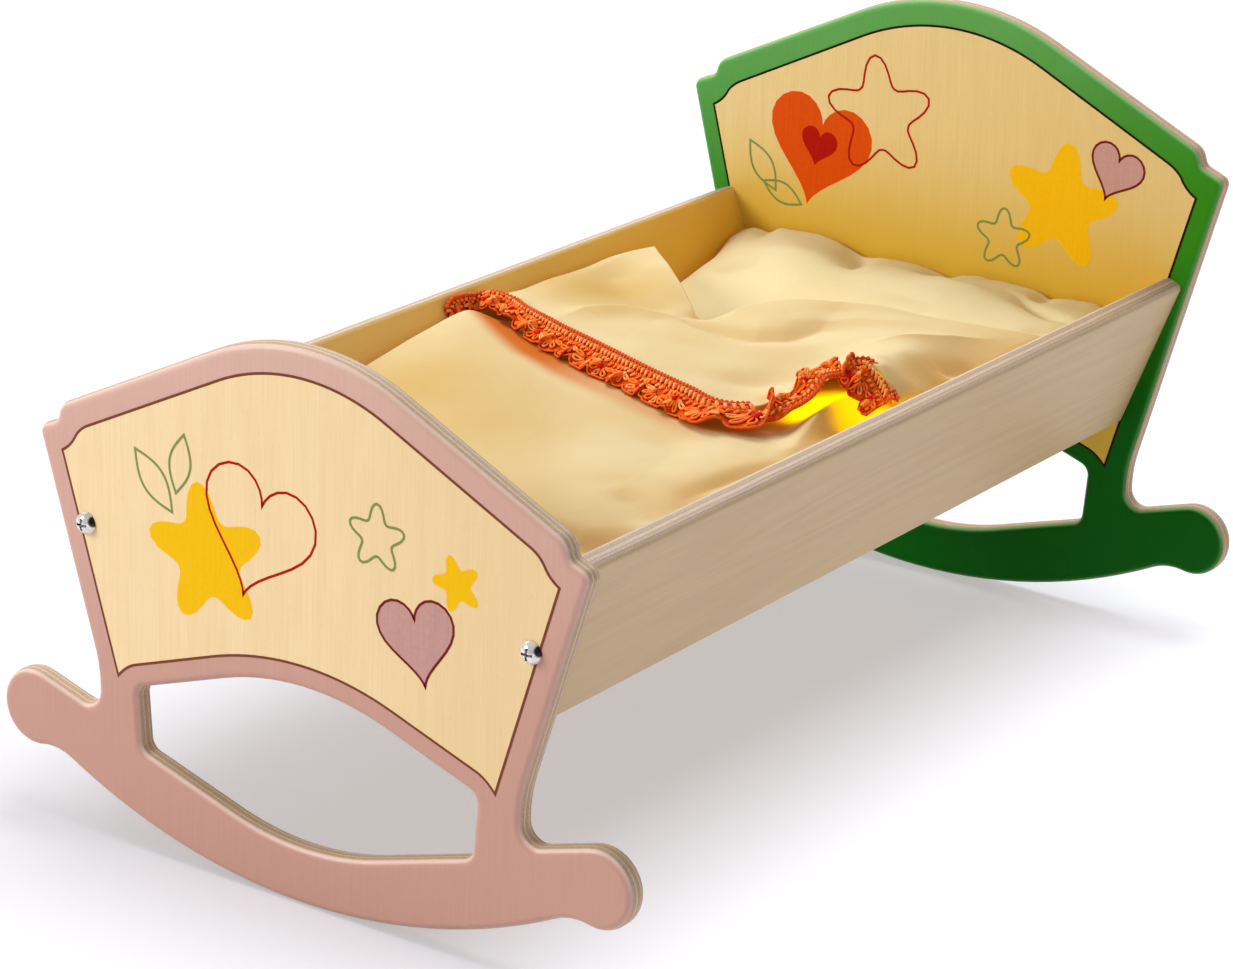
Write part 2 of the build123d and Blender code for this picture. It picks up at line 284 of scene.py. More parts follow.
# Heights over which painted light turns the paint from deep in shade to pale, and how far this leans along x
# and drifts
paint_shaded_z, paint_lit_z = 90.0, 300.0
paint_light_lean, paint_cloud = -0.22, 24.0
# Heights over which painted bounce light from the cotton makes the wood golden: from the bedding up to each
# board's own
bedding_level = 152.0
panel_golden_top, side_golden_top = 225.0, 232.0


def new_material(name):
    """A material with its node tree and its shader."""
    material = bpy.data.materials.new(name)
    material.use_nodes = True
    tree = material.node_tree
    shader = next(node for node in tree.nodes if node.type == "BSDF_PRINCIPLED")
    return material, tree, shader


def position_in(tree):
    """Object coordinates in millimetres."""
    return scaled(tree, add_node(tree, "ShaderNodeTexCoord").outputs["Object"], (1000.0, 1000.0, 1000.0))


def normal_in(tree):
    return add_node(tree, "ShaderNodeTexCoord").outputs["Normal"]


def give_surface(tree, shader, colour, rough, height, distance, strength):
    """Wires a material's colour, its roughness and its small relief."""
    relief = add_node(tree, "ShaderNodeBump", {"Height": height, "Strength": strength, "Distance": distance})
    tree.links.new(colour, shader.inputs["Base Color"])
    tree.links.new(rough, shader.inputs["Roughness"])
    tree.links.new(relief.outputs[0], shader.inputs["Normal"])


def fibre_rough(tree, grain, least, more):
    """Roughness of wood or of a print on it, a little higher on the fibres."""
    return plus(tree, times(tree, grain["Fibre"], more), least)


def birch_colour(tree, grain, pale, dark, shares):
    """Veneer colour from its grain masks, with the shares of dark on its fibres, figure and flecks."""
    colour = pale
    for mask, share in zip(("Fibre", "Figure", "Fleck"), shares):
        colour = mix_colour(tree, times(tree, grain[mask], share), colour, dark)
    return colour


def make_painted_birch(name, tones, low_y, gloss):
    """Satin paint on the faces and the round-over, with bare plywood on the edges. Painted light makes the
    paint paler towards the top and towards −x, and makes the round-over paler, a little from rubbing and more
    where it faces up, as a painted highlight.
    """
    material, tree, shader = new_material(name)
    position, normal = position_in(tree), normal_in(tree)
    place = parts_of(tree, position)
    depth = calc(tree, "DIVIDE", calc(tree, "SUBTRACT", place[1], low_y / mm), board_thick / mm)
    edge = use_group(tree, ply_edge, {"Depth": depth, "Position": position, "Layers": board_layers})
    mask = use_group(tree, face_mask, {"Normal": normal, "Position": position, "Start": 0.40, "Fade": 0.16})
    grain = use_group(tree, birch_grain, {"Position": position})
    # Painted light: the paint is paler higher up and towards −x, as if lit from above and the left
    drift = plus(tree, place[2], times(tree, place[0], paint_light_lean))
    height = plus(tree, drift, times(tree, noise_at(tree, position, 0.03, 3.0), paint_cloud))
    film = ramp(tree, remap(tree, height, paint_shaded_z, paint_lit_z, smooth=False), tones[:3], "EASE")
    streaks = remap(tree, grain["Fibre"], 0.0, 1.0, 1.0, 0.96)
    brushed = mix_colour(tree, 1.0, film, streaks, "MULTIPLY")
    # The round-over is paler: a little all round from rubbed paint, and much more where it faces up, as a
    # painted highlight
    rounded = remap(tree, mask["Facing"], 0.97, 0.66)
    upward = remap(tree, parts_of(tree, normal)[2], -0.1, 0.6, 0.25, 0.85)
    rubbed_and_highlighted = mix_colour(tree, times(tree, rounded, upward), brushed, tones[3])
    coloured = mix_colour(tree, mask["Mask"], edge["Colour"], rubbed_and_highlighted)
    bare = times(tree, calc(tree, "SUBTRACT", 1.0, mask["Mask"]), 0.22)
    rough = plus(tree, fibre_rough(tree, grain, 0.34, 0.10), bare)
    pores = plus(tree, times(tree, grain["Fibre"], 0.6), times(tree, grain["Fleck"], -0.8))
    give_surface(tree, shader, coloured, rough, pores, 0.03 * mm, 0.5)
    shader.inputs["Specular IOR Level"].default_value = gloss
    return material


def warm_low(tree, position, colour, golden, top, foot_share=1.0):
    """Colour that turns golden towards the bedding, where the yellow cotton throws its light on the wood."""
    place = parts_of(tree, position)
    share = remap(tree, place[2], bedding_level, top, 0.9, 0.0)
    along = remap(tree, place[1], foot_high.y / mm, head_low.y / mm, foot_share, 1.0)
    return mix_colour(tree, times(tree, share, along), colour, golden)


def make_veneer(name, pale, dark, fibre_share, figure_share, rough, golden=None):
    """Clear lacquered birch with its grain upright."""
    material, tree, shader = new_material(name)
    position = position_in(tree)
    grain = use_group(tree, birch_grain, {"Position": position})
    toned = birch_colour(tree, grain, pale, dark, (fibre_share, figure_share, 0.5))
    cloud = noise_at(tree, scaled(tree, position, (0.014, 0.014, 0.006)), 1.0, 2.0)
    clouded = mix_colour(tree, remap(tree, cloud, 0.35, 0.65, 0.0, 0.08), toned, dark)
    # Painted shade: the veneer darkens towards +x, away from the light
    shaded_to_right = remap(tree, parts_of(tree, position)[0], 0.0, 110.0, 0.0, 0.35)
    warm = mix_colour(tree, shaded_to_right, clouded, dark)
    if golden:
        warm = warm_low(tree, position, warm, golden, panel_golden_top)
    give_surface(tree, shader, warm, fibre_rough(tree, grain, rough, 0.08), grain["Fibre"], 0.03 * mm, 0.5)
    return material


def make_side_birch(name, sign):
    """Lacquered birch side board: grain along its length, plywood layers on its edges."""
    material, tree, shader = new_material(name)
    position, normal = position_in(tree), normal_in(tree)
    turn = {"Vector": position, "Angle": sign * side_tilt}
    upright = add_node(tree, "ShaderNodeVectorRotate", turn, rotation_type="Y_AXIS").outputs[0]
    place = parts_of(tree, upright)
    outer = sign * (side_foot_x * cos(side_tilt) - side_foot_z * sin(side_tilt)) / mm
    from_outer = calc(tree, "ABSOLUTE", calc(tree, "SUBTRACT", outer, place[0]))
    depth = calc(tree, "DIVIDE", from_outer, side_thick / mm)
    edge = use_group(tree, ply_edge, {"Depth": depth, "Position": position, "Layers": board_layers})
    axis = (cos(side_tilt), 0.0, -sign * sin(side_tilt))
    faced = {"Normal": normal, "Axis": axis, "Position": position, "Start": 0.55, "Fade": 0.25}
    mask = use_group(tree, face_mask, faced)
    grain = use_group(tree, birch_grain, {"Position": reordered(tree, place, (2, 0, 1)), "Figure Size": 1.3})
    face = birch_colour(tree, grain, side_pale, side_dark, (0.16, 0.34, 0.20))
    # The inner face is a lit copy of the face, with painted light, and turns golden towards the bedding with
    # painted bounce light
    lit_face = mix_colour(tree, 0.8, face, side_lit)
    inner = warm_low(tree, position, lit_face, side_golden, side_golden_top, 0.5)
    inward = remap(tree, times(tree, parts_of(tree, normal)[0], -sign), 0.5, 0.8)
    toned = mix_colour(tree, inward, face, inner)
    coloured = mix_colour(tree, mask["Mask"], edge["Colour"], toned)
    rough = fibre_rough(tree, grain, 0.42, 0.08)
    give_surface(tree, shader, coloured, rough, grain["Fibre"], 0.04 * mm, 0.5)
    return material


def make_bare_plywood():
    """Bare plywood of the base board, its grain along Y."""
    material, tree, shader = new_material("base_plywood")
    position = position_in(tree)
    place = parts_of(tree, position)
    low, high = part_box("base_board")
    depth = calc(tree, "DIVIDE", calc(tree, "SUBTRACT", place[2], low.z / mm), (high.z - low.z) / mm)
    edge = use_group(tree, ply_edge, {"Depth": depth, "Position": position, "Layers": base_layers})
    faced = {"Normal": normal_in(tree), "Axis": (0.0, 0.0, 1.0), "Position": position}
    mask = use_group(tree, face_mask, faced)
    grain = use_group(tree, birch_grain, {"Position": reordered(tree, place, (0, 2, 1))})
    face = birch_colour(tree, grain, rgb(222, 198, 156), rgb(178, 142, 98), (0.5, 0.6, 0.7))
    coloured = mix_colour(tree, mask["Mask"], edge["Colour"], face)
    rough = fibre_rough(tree, grain, 0.62, 0.10)
    give_surface(tree, shader, coloured, rough, grain["Fibre"], 0.08 * mm, 0.7)
    return material


def make_ink(name, colour, deep):
    """Screen printing ink, thin enough that the veneer's fibres show in it."""
    material, tree, shader = new_material(name)
    position = position_in(tree)
    grain = use_group(tree, birch_grain, {"Position": position})
    mottled = remap(tree, noise_at(tree, position, 0.5, 3.0, 0.6), 0.4, 0.7, 0.0, 0.25)
    fibres = mix_colour(tree, times(tree, grain["Fibre"], 0.35), colour, deep)
    inked = mix_colour(tree, mottled, fibres, deep)
    give_surface(tree, shader, inked, fibre_rough(tree, grain, 0.38, 0.10), grain["Fibre"], 0.02 * mm, 0.4)
    shader.inputs["Specular IOR Level"].default_value = 0.05
    return material


dark_side = (0.86, -0.40, 0.32)


def make_metal(name, colour, roughness, brushed, polished):
    """Bare metal. A polished one has a painted reflection of the dark side of the room where its surface
    turns to dark_side.
    """
    material, tree, shader = new_material(name)
    position = position_in(tree)
    scratches = noise_at(tree, scaled(tree, position, (0.4, 6.0, 6.0)), 1.0, 4.0, 0.7)
    film = remap(tree, noise_at(tree, position, 0.4, 2.0), 0.4, 0.7, 0.0, 0.3)
    filmed = mix_colour(tree, film, colour, rgb(150, 150, 152))
    # Painted reflection: the polished metal darkens where it faces dark_side
    turned = measure(tree, "DOT_PRODUCT", normal_in(tree), dark_side)
    dark = remap(tree, turned, 0.86, 0.94, 0.0, 1.0 if polished else 0.0)
    mirrored = mix_colour(tree, dark, filmed, rgb(24, 20, 18))
    # Painted shade: dark in the bolt head's recess, where the metal is closed in
    recess = remap(tree, openness(tree, 1.2 * mm), 0.85, 0.55)
    recess_shaded = mix_colour(tree, recess, mirrored, rgb(30, 24, 18))
    spread = plus(tree, times(tree, scratches, brushed), roughness)
    give_surface(tree, shader, recess_shaded, spread, scratches, 0.02 * mm, brushed)
    shader.inputs["Metallic"].default_value = 0.45 if polished else 1.0
    return material


def make_dowel_wood():
    """Plain beech, its grain along Y."""
    material, tree, shader = new_material("beech_dowel")
    turned = reordered(tree, parts_of(tree, position_in(tree)), (0, 2, 1))
    grain = use_group(tree, birch_grain, {"Position": turned})
    wood = birch_colour(tree, grain, rgb(214, 180, 134), rgb(168, 124, 82), (0.6, 0.3, 0.9))
    give_surface(tree, shader, wood, fibre_rough(tree, grain, 0.6, 0.10), grain["Fibre"], 0.1 * mm, 0.7)
    return material


# Middle of the quilt's raised hump, and how far round it a painted glow stands in for the light coming
# through, in millimetres
hump_middle = (86.0, 13.0, 171.0)
hump_reach = 38.0
hump_core = 0.6 * hump_reach
# Line along x where the lace's golden shade on the quilt ends, and how strong the shade is along x
shade_end = [
    (-112, 8), (-100, 0), (-89, -8), (-69, -21), (-58, -28), (-29, -41), (8, -51), (32, -57), (58, -64)
]
shade_strength = [
    (-114, 0.0), (-106, 0.9), (-98, 1.0), (-44, 1.0), (-24, 0.7), (0, 0.5), (40, 0.4), (70, 0.0)
]
# The shade comes in across its end, and goes out where its depth is reached
shade_before, shade_past, shade_depth, shade_fade = -8.0, 6.0, 24.0, 4.0
# Where painted shade makes the cotton a deeper yellow: place x and y, reach, share
painted_shade_places = (
    (-84, 74, 66, 1.0),
    (-70, -84, 80, 0.75),
    (-20, -110, 80, 0.5),
    (-30, -205, 90, 0.3),
    (64, -180, 60, 0.3),
    (104, -220, 24, 0.9),
    (106, 62, 22, 0.8),
    (98, -22, 16, 0.8),
    (72, -24, 16, 0.7),
)
# Heights over which a place comes to be on the quilt or the pillow, and not on the mattress
over_mattress, on_quilt = 140.0, 148.0
# The direction the cotton's lit faces turn to: faces turned away from it get painted shade
lit_side = (-0.55, 0.55, 0.63)
# Reaches within which cloth that stands close makes a fold with painted shade, and hides a place under the
# quilt
fold_reach, hidden_reach = 9 * mm, 30 * mm
weave_depth, crease_depth = 0.04, 1.3
# Cotton: the deeper yellow of painted shade in spots, the golden of painted shade in folds and beside the
# lace, and the yellow of the painted glow
cotton_spot_shade = rgb(202, 166, 94)
cotton_shade = rgb(208, 132, 14)
cotton_lace_shade = rgb(196, 98, 0)
cotton_glow = rgb(242, 222, 12)


def along_line(tree, place, line):
    """Value along x of a line of (x, value) points, both in millimetres."""
    start, end = line[0][0], line[-1][0]
    values = [value for x, value in line]
    low, high = min(values), max(values)
    greys = [(value - low) / (high - low) for value in values]
    stops = [((x - start) / (end - start), (grey, grey, grey, 1.0)) for (x, value), grey in zip(line, greys)]
    share = remap(tree, place, start, end, smooth=False)
    return remap(tree, ramp(tree, share, stops), 0.0, 1.0, low, high, smooth=False)


def make_cotton(name, pale, deep, side_shade_share):
    """Thin yellow cotton with a fine weave, with painted shade in its folds, on faces turned from the light,
    in spots and beside the lace, and a painted glow under the raised hump where light comes through.
    """
    material, tree, shader = new_material(name)
    position = position_in(tree)
    place = parts_of(tree, position)
    weave = use_group(tree, cotton_weave, {"Position": position})
    clouded = mix_colour(tree, remap(tree, weave["Cloud"], 0.25, 0.75, 0.15, 0.7), pale, deep)
    thready = mix_colour(tree, remap(tree, weave["Height"], -1.0, 1.0, 0.0, 0.10), clouded, deep)
    folds, hidden = openness(tree, fold_reach), openness(tree, hidden_reach)
    # Painted shade on the faces turned away from the light
    leaning = measure(tree, "DOT_PRODUCT", normal_in(tree), lit_side)
    side_shade = remap(tree, leaning, 0.72, 0.34, 0.0, side_shade_share)
    side_shaded = mix_colour(tree, side_shade, thready, mix_colour(tree, 0.35, deep, cotton_shade))
    # Painted shade in folds and in hidden places under the quilt
    fold_shade = remap(tree, folds, 0.80, 0.25, 0.0, 0.85)
    crevice_shade = calc(tree, "MAXIMUM", fold_shade, remap(tree, hidden, 0.50, 0.25, 0.0, 0.7))
    flat_place = scaled(tree, position, (1.0, 1.0, 0.0))
    on_top = remap(tree, place[2], over_mattress, on_quilt)
    # Painted shade in spots on the quilt and the pillow
    for x, y, reach, share in painted_shade_places:
        away = measure(tree, "DISTANCE", flat_place, (x, y, 0.0))
        spot = times(tree, remap(tree, away, reach, 0.0, 0.0, share), on_top)
        side_shaded = mix_colour(tree, spot, side_shaded, cotton_spot_shade)
    past_end = calc(tree, "SUBTRACT", place[1], along_line(tree, place[0], shade_end))
    strength = along_line(tree, place[0], shade_strength)
    in_shade = times(tree, remap(tree, past_end, shade_before, shade_past), strength)
    in_shade = times(tree, in_shade, remap(tree, past_end, shade_depth, shade_depth - shade_fade))
    in_shade = times(tree, in_shade, on_top)
    folded = mix_colour(tree, crevice_shade, side_shaded, cotton_shade)
    shaded = mix_colour(tree, in_shade, folded, cotton_lace_shade)
    # Painted light: the cotton glows yellow under the raised hump, and faintly in folds, hidden places and
    # the lace's shade
    from_hump = measure(tree, "DISTANCE", position, hump_middle)
    near_hump = remap(tree, from_hump, hump_reach, hump_core)
    inside = times(tree, near_hump, remap(tree, hidden, 0.62, 0.32))
    deep_light = times(tree, inside, remap(tree, hidden, 0.6, 0.0, 0.38, 0.80))
    fold_light = remap(tree, folds, 0.6, 0.1, 0.0, 0.02)
    edge_light = plus(tree, fold_light, remap(tree, hidden, 0.75, 0.3, 0.0, 0.06))
    lace_light = calc(tree, "MAXIMUM", edge_light, times(tree, in_shade, 0.06))
    tree.links.new(mix_colour(tree, inside, cotton_shade, cotton_glow), shader.inputs["Emission Color"])
    tree.links.new(calc(tree, "MAXIMUM", deep_light, lace_light), shader.inputs["Emission Strength"])
    rough = remap(tree, weave["Height"], -1.0, 1.0, 0.86, 0.78)
    height = plus(tree, times(tree, weave["Height"], weave_depth), times(tree, weave["Crease"], crease_depth))
    give_surface(tree, shader, mix_colour(tree, inside, shaded, cotton_glow), rough, height, 0.9 * mm, 0.5)
    shader.inputs["Specular IOR Level"].default_value = 0.08
    shader.inputs["Sheen Weight"].default_value = 0.03
    shader.inputs["Sheen Roughness"].default_value = 0.5
    return material


def make_foam():
    """Open foam with small cells."""
    material, tree, shader = new_material("mattress_foam")
    pattern = {"Vector": position_in(tree), "Scale": 1.3}
    cells = add_node(tree, "ShaderNodeTexVoronoi", pattern).outputs["Distance"]
    colour = mix_colour(tree, remap(tree, cells, 0.1, 0.7), rgb(198, 190, 160), rgb(240, 234, 208))
    give_surface(tree, shader, colour, remap(tree, cells, 0.0, 0.8, 0.95, 0.85), cells, 0.4 * mm, 0.8)
    return material


def make_thread(name, deep, warm, pale, highlight_share):
    """Glossy cotton thread, with painted shade darkening it in the pockets of the lace, and paler strands
    twisted in as painted highlights where the pockets open.
    """
    material, tree, shader = new_material(name)
    strands = noise_at(tree, position_in(tree), 1.1, 3.0, 0.65)
    pocket_openness = openness(tree, 6 * mm)
    # Painted shade deep in the lace's pockets, and painted highlights as pale strands where the lace is open
    body = mix_colour(tree, remap(tree, pocket_openness, 0.12, 0.50), deep, warm)
    highlight_strands = remap(tree, strands, 0.48, 0.68, 0.0, highlight_share)
    lit = times(tree, highlight_strands, remap(tree, pocket_openness, 0.2, 0.55))
    rough = remap(tree, strands, 0.3, 0.7, 0.55, 0.40)
    give_surface(tree, shader, mix_colour(tree, lit, body, pale), rough, strands, 0.3 * mm, 0.6)
    shader.inputs["Specular IOR Level"].default_value = 0.12
    return material


# Paint: three tones from low to high, deep where painted shade is and pale where painted light is, and the
# tone of the rubbed round-over with its painted highlight
pink_tones = [
    (0.0, rgb(204, 154, 136)), (0.5, rgb(214, 168, 150)), (1.0, rgb(226, 188, 170)), rgb(240, 208, 192)
]
green_tones = [
    (0.0, rgb(0, 96, 2)), (0.5, rgb(52, 136, 18)), (1.0, rgb(96, 166, 82)), rgb(140, 198, 124)
]
side_pale, side_dark = rgb(210, 180, 132), rgb(184, 150, 104)
# A painted light tone for the side boards' inner faces, and the golden of painted bounce light on them from
# the cotton
side_lit, side_golden = rgb(255, 228, 160), rgb(236, 180, 0)
foot_paint = make_painted_birch("pink_painted_birch", pink_tones, foot_low.y, 0.35)
head_paint = make_painted_birch("green_painted_birch", green_tones, head_low.y, 0.1)
panel_birch = make_veneer("lacquered_panel", rgb(252, 223, 172), rgb(230, 190, 126), 0.28, 0.22, 0.34)
# The inner panels: golden towards the bedding with painted bounce light from the cotton
warm_birch = make_veneer(
    "lacquered_panel_warm", rgb(236, 210, 144), rgb(216, 180, 104), 0.28, 0.16, 0.36, rgb(222, 180, 20)
)
chrome = make_metal("chrome", rgb(244, 240, 236), 0.06, 0.05, True)
zinc_steel = make_metal("zinc_steel", rgb(196, 198, 200), 0.30, 0.3, False)
yellow_cotton = make_cotton("yellow_cotton", rgb(231, 213, 169), rgb(215, 189, 132), 0.7)
pillow_cotton = make_cotton("pillow_cotton", rgb(241, 225, 178), rgb(230, 208, 152), 0.0)
crochet_thread = make_thread("orange_thread", rgb(204, 36, 0), rgb(255, 116, 6), rgb(255, 176, 92), 0.55)
ground_thread = make_thread("ground_thread", rgb(172, 16, 0), rgb(236, 82, 2), rgb(255, 146, 58), 0.45)
cord_thread = make_thread("cord_thread", rgb(170, 34, 0), rgb(228, 88, 14), rgb(250, 150, 80), 0.4)
# Deep red knots that stand in for the painted shade in the fans' pockets
shade_knot_thread = make_thread("shade_knot_thread", rgb(176, 8, 0), rgb(222, 22, 4), rgb(240, 90, 40), 0.2)
# A thread coloured as a painted highlight, for the stitches that catch the light
glint_thread = make_thread("glint_thread", rgb(228, 76, 8), rgb(255, 156, 72), rgb(255, 208, 146), 0.8)
ink_red = make_ink("red_ink", rgb(184, 22, 4), rgb(150, 14, 2))
ink_gold = make_ink("golden_ink", rgb(250, 196, 16), rgb(240, 178, 10))
ink_orange = make_ink("orange_ink", rgb(226, 84, 8), rgb(206, 64, 4))
ink_mauve = make_ink("mauve_ink", rgb(204, 158, 146), rgb(184, 132, 126))
ink_green = make_ink("green_ink", rgb(138, 152, 86), rgb(112, 128, 66))
ink_maroon = make_ink("maroon_ink", rgb(126, 36, 30), rgb(94, 24, 20))
ink_brown = make_ink("brown_ink", rgb(132, 74, 50), rgb(102, 50, 34))
ink_black = make_ink("dark_ink", rgb(40, 20, 8), rgb(24, 12, 6))


def dress(node_name, material):
    """Gives a CAD node its material."""
    node = nodes[node_name]
    node.data.materials.clear()
    node.data.materials.append(material)


dress("foot_board", foot_paint)
dress("head_board", head_paint)
dress("side_board_left", make_side_birch("side_birch_left", -1))
dress("side_board_right", make_side_birch("side_birch_right", 1))
dress("base_board", make_bare_plywood())
dowel_wood = make_dowel_wood()
for corner in ("foot_left", "foot_right", "head_left", "head_right"):
    dress(f"connecting_bolt_{corner}", chrome)
    dress(f"barrel_nut_{corner}", zinc_steel)
    dress(f"dowels_{corner}", dowel_wood)


# Mesh helpers


def new_piece(name, points, faces, material, body, smooth=False):
    """A mesh piece that rides on a body."""
    mesh = bpy.data.meshes.new(name)
    mesh.from_pydata([tuple(point) for point in points], [], faces)
    mesh.materials.append(material)
    piece = bpy.data.objects.new(name, mesh)
    bpy.context.scene.collection.objects.link(piece)
    work = bmesh.new()
    work.from_mesh(mesh)
    bmesh.ops.recalc_face_normals(work, faces=work.faces)
    work.to_mesh(mesh)
    work.free()
    if smooth:
        mesh.polygons.foreach_set("use_smooth", [True] * len(mesh.polygons))
    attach(piece, body)
    return piece


def plate_mesh(outline, low_y, high_y):
    """Points and faces of a thin plate with a closed outline of (x, z) places."""
    count = len(outline)
    points = [(x, low_y, z) for x, z in outline] + [(x, high_y, z) for x, z in outline]
    faces = [list(range(count)), list(range(count, 2 * count))[::-1]]
    for i in range(count):
        after = (i + 1) % count
        faces.append([i, count + i, count + after, after])
    return points, faces


def joined_loops(loops, count, closed=False):
    """Faces between loops of so many points, from each loop to the next, and to the first where closed."""
    faces = []
    for loop in range(loops if closed else loops - 1):
        here, beyond = loop * count, (loop + 1) % loops * count
        for i in range(count):
            after = (i + 1) % count
            faces.append([here + i, here + after, beyond + after, beyond + i])
    return faces


def loop_ends(loops, count):
    """The faces that fill the first loop and the last."""
    return [list(range(count))[::-1], list(range((loops - 1) * count, loops * count))]


def loop_mesh(columns):
    """Points and faces of a closed form from equal closed loops of points, its two ends filled."""
    loops, count = len(columns), len(columns[0])
    points = [tuple(point) for column in columns for point in column]
    return points, joined_loops(loops, count) + loop_ends(loops, count)


def arc(centre, radius, start, end, count=12):
    """Points on an arc between two angles in degrees, measured from +X towards +Z."""
    angles = [radians(start + (end - start) * i / count) for i in range(count + 1)]
    return [(centre[0] + radius * cos(a), centre[1] + radius * sin(a)) for a in angles]


def bend(first, control, last, count=6):
    """Points on a smooth bend between two places, past a control place."""
    shares = [i / count for i in range(count + 1)]
    return [
        tuple((1 - t) ** 2 * a + 2 * t * (1 - t) * b + t * t * c for a, b, c in zip(first, control, last))
        for t in shares
    ]


def ribbon_mesh(path, width, low_y, high_y):
    """Points and faces of a band along a closed path of (x, z) places, mitred at its corners."""
    count = len(path)
    left, right = [], []
    for i, here in enumerate(path):
        before, after = path[i - 1], path[(i + 1) % count]
        first = Vector((here[0] - before[0], here[1] - before[1]))
        second = Vector((after[0] - here[0], after[1] - here[1]))
        first = first.normalized() if first.length else second.normalized()
        second = second.normalized() if second.length else first
        along = (first + second).normalized()
        reach = min(width / 2 / max(along.dot(first), 0.5), width)
        side = Vector((-along.y, along.x)) * reach
        left.append((here[0] + side.x, here[1] + side.y))
        right.append((here[0] - side.x, here[1] - side.y))
    rings = [(left, low_y), (left, high_y), (right, high_y), (right, low_y)]
    points = [(x, y, z) for ring, y in rings for x, z in ring]
    return points, joined_loops(len(rings), count, closed=True)


# Printed panels: the outline in millimetres, from the photo, inside each board's painted border

Panel = namedtuple("Panel", "apex crown_radius slope shoulder notch_centre notch_radius corner")
foot_panel = Panel(225.0, 95.6, 0.492, (115.3, 179.4), (134.5, 184.8), 19.1, (125.0, 168.1))
head_panel = Panel(275.6, 113.0, 0.495, (123.0, 228.2), (143.4, 233.5), 19.6, (134.4, 216.1))
panel_tip = (96.7, 76.0)
panel_arch_top = 104.9
panel_arch_radius = 141.0
panel_arch_slope = 0.345
panel_curl_start_x = 87.5
shoulder_round = 4.0


def panel_outline(panel):
    """Closed outline of a panel in metres, anticlockwise from the middle of its arch."""
    arch_lean = atan(panel_arch_slope)
    arch_centre = (0.0, panel_arch_top - panel_arch_radius)
    half = arc(arch_centre, panel_arch_radius, 90, 90 - degrees(arch_lean), 10)
    arch_end = half[-1]
    curl_start = (panel_curl_start_x, arch_end[1] - (panel_curl_start_x - arch_end[0]) * panel_arch_slope)
    curl_control_x = (panel_curl_start_x + panel_tip[0]) / 2
    curl_control = (curl_control_x, curl_start[1] - (curl_control_x - panel_curl_start_x) * panel_arch_slope)
    half += bend(curl_start, curl_control, panel_tip)
    notch = panel.notch_centre
    corner_angle = degrees(atan2(panel.corner[1] - notch[1], panel.corner[0] - notch[0]))
    top_angle = degrees(atan2(panel.shoulder[1] - notch[1], panel.shoulder[0] - notch[0]))
    ease_angle = degrees(shoulder_round / panel.notch_radius)
    notch_arc = arc(notch, panel.notch_radius, corner_angle % 360, top_angle % 360 + ease_angle, 8)
    half += notch_arc
    shoulder_out = panel.shoulder[0] - shoulder_round
    on_slope = (shoulder_out, panel.shoulder[1] + shoulder_round * panel.slope)
    half += bend(notch_arc[-1], panel.shoulder, on_slope)[1:]
    crown_centre = (0.0, panel.apex - panel.crown_radius)
    half += arc(crown_centre, panel.crown_radius, 90 - degrees(atan(panel.slope)), 90)
    mirrored = [(-x, z) for x, z in half[-2:0:-1]]
    return [(x * mm, z * mm) for x, z in half + mirrored]


# How far each layer stands out of the board, each motif a little more, and how deep all are bedded in it
panel_rise = 0.10 * mm
line_rise = 0.15 * mm
print_rise = 0.13 * mm
outline_rise = 0.17 * mm
motif_step = 0.002 * mm
bedded = 0.05 * mm
frame_line_width = 1.1 * mm


def layer(face_y, outward, rise):
    """Low and high y of a thin layer on a board's face."""
    inside, outside = face_y - outward * bedded, face_y + outward * rise
    return min(inside, outside), max(inside, outside)


# Generic motifs: hearts, stars and leaves


def heart(centre, size, turn=0.0, count=40):
    points = []
    for i in range(count):
        t = 2 * pi * i / count
        x = 0.95 * sin(t) ** 3
        z = 0.80 * cos(t) - 0.30 * cos(2 * t) - 0.12 * cos(3 * t) - 0.06 * cos(4 * t)
        points.append((x, z))
    return placed(points, centre, size, turn)


def star(centre, size, turn=0.0, rays=5, waist=0.55, count=60):
    """A star with soft rounded rays."""
    points = []
    for i in range(count):
        t = 2 * pi * i / count
        reach = waist + (1 - waist) * ((1 + cos(rays * t)) / 2) ** 1.3
        points.append((reach * sin(t), reach * cos(t)))
    return placed(points, centre, size, turn)


def leaf(centre, size, turn=0.0, count=20):
    points = [(0.42 * sin(pi * i / count), -1 + 2 * i / count) for i in range(count + 1)]
    points += [(-x, z) for x, z in points[-2:0:-1]]
    return placed(points, centre, size, turn)


def placed(points, centre, size, turn):
    """Unit points turned, sized and moved, in metres."""
    angle = radians(turn)
    return [
        (
            (centre[0] + size * (x * cos(angle) - z * sin(angle))) * mm,
            (centre[1] + size * (x * sin(angle) + z * cos(angle))) * mm,
        )
        for x, z in points
    ]


# Each motif: shape, centre and size in millimetres, turn in degrees, filled ink, outline ink
foot_motifs = (
    (star, (-48, 140), 31, 10, ink_gold, None),
    (heart, (-22, 158), 30, -14, None, ink_red),
    (leaf, (-76, 166), 15, 40, None, ink_green),
    (leaf, (-62, 176), 13, -10, None, ink_green),
    (heart, (58, 132), 20, 12, ink_mauve, ink_maroon),
    (star, (38, 168), 14, 0, None, ink_green),
    (star, (77, 158), 12, 20, ink_gold, None),
)
head_motifs = (
    (heart, (72, 206), 31, 10, ink_orange, None),
    (heart, (72, 206), 11, 10, ink_red, None),
    (star, (38, 226), 30, -8, None, ink_red),
    (leaf, (104, 190), 14, -35, None, ink_green),
    (leaf, (92, 178), 12, -70, None, ink_green),
    (star, (-64, 200), 31, 6, ink_gold, None),
    (heart, (-92, 222), 15, 18, ink_mauve, ink_maroon),
    (star, (-34, 178), 15, 0, None, ink_green),
)
motif_line_width = 1.1 * mm


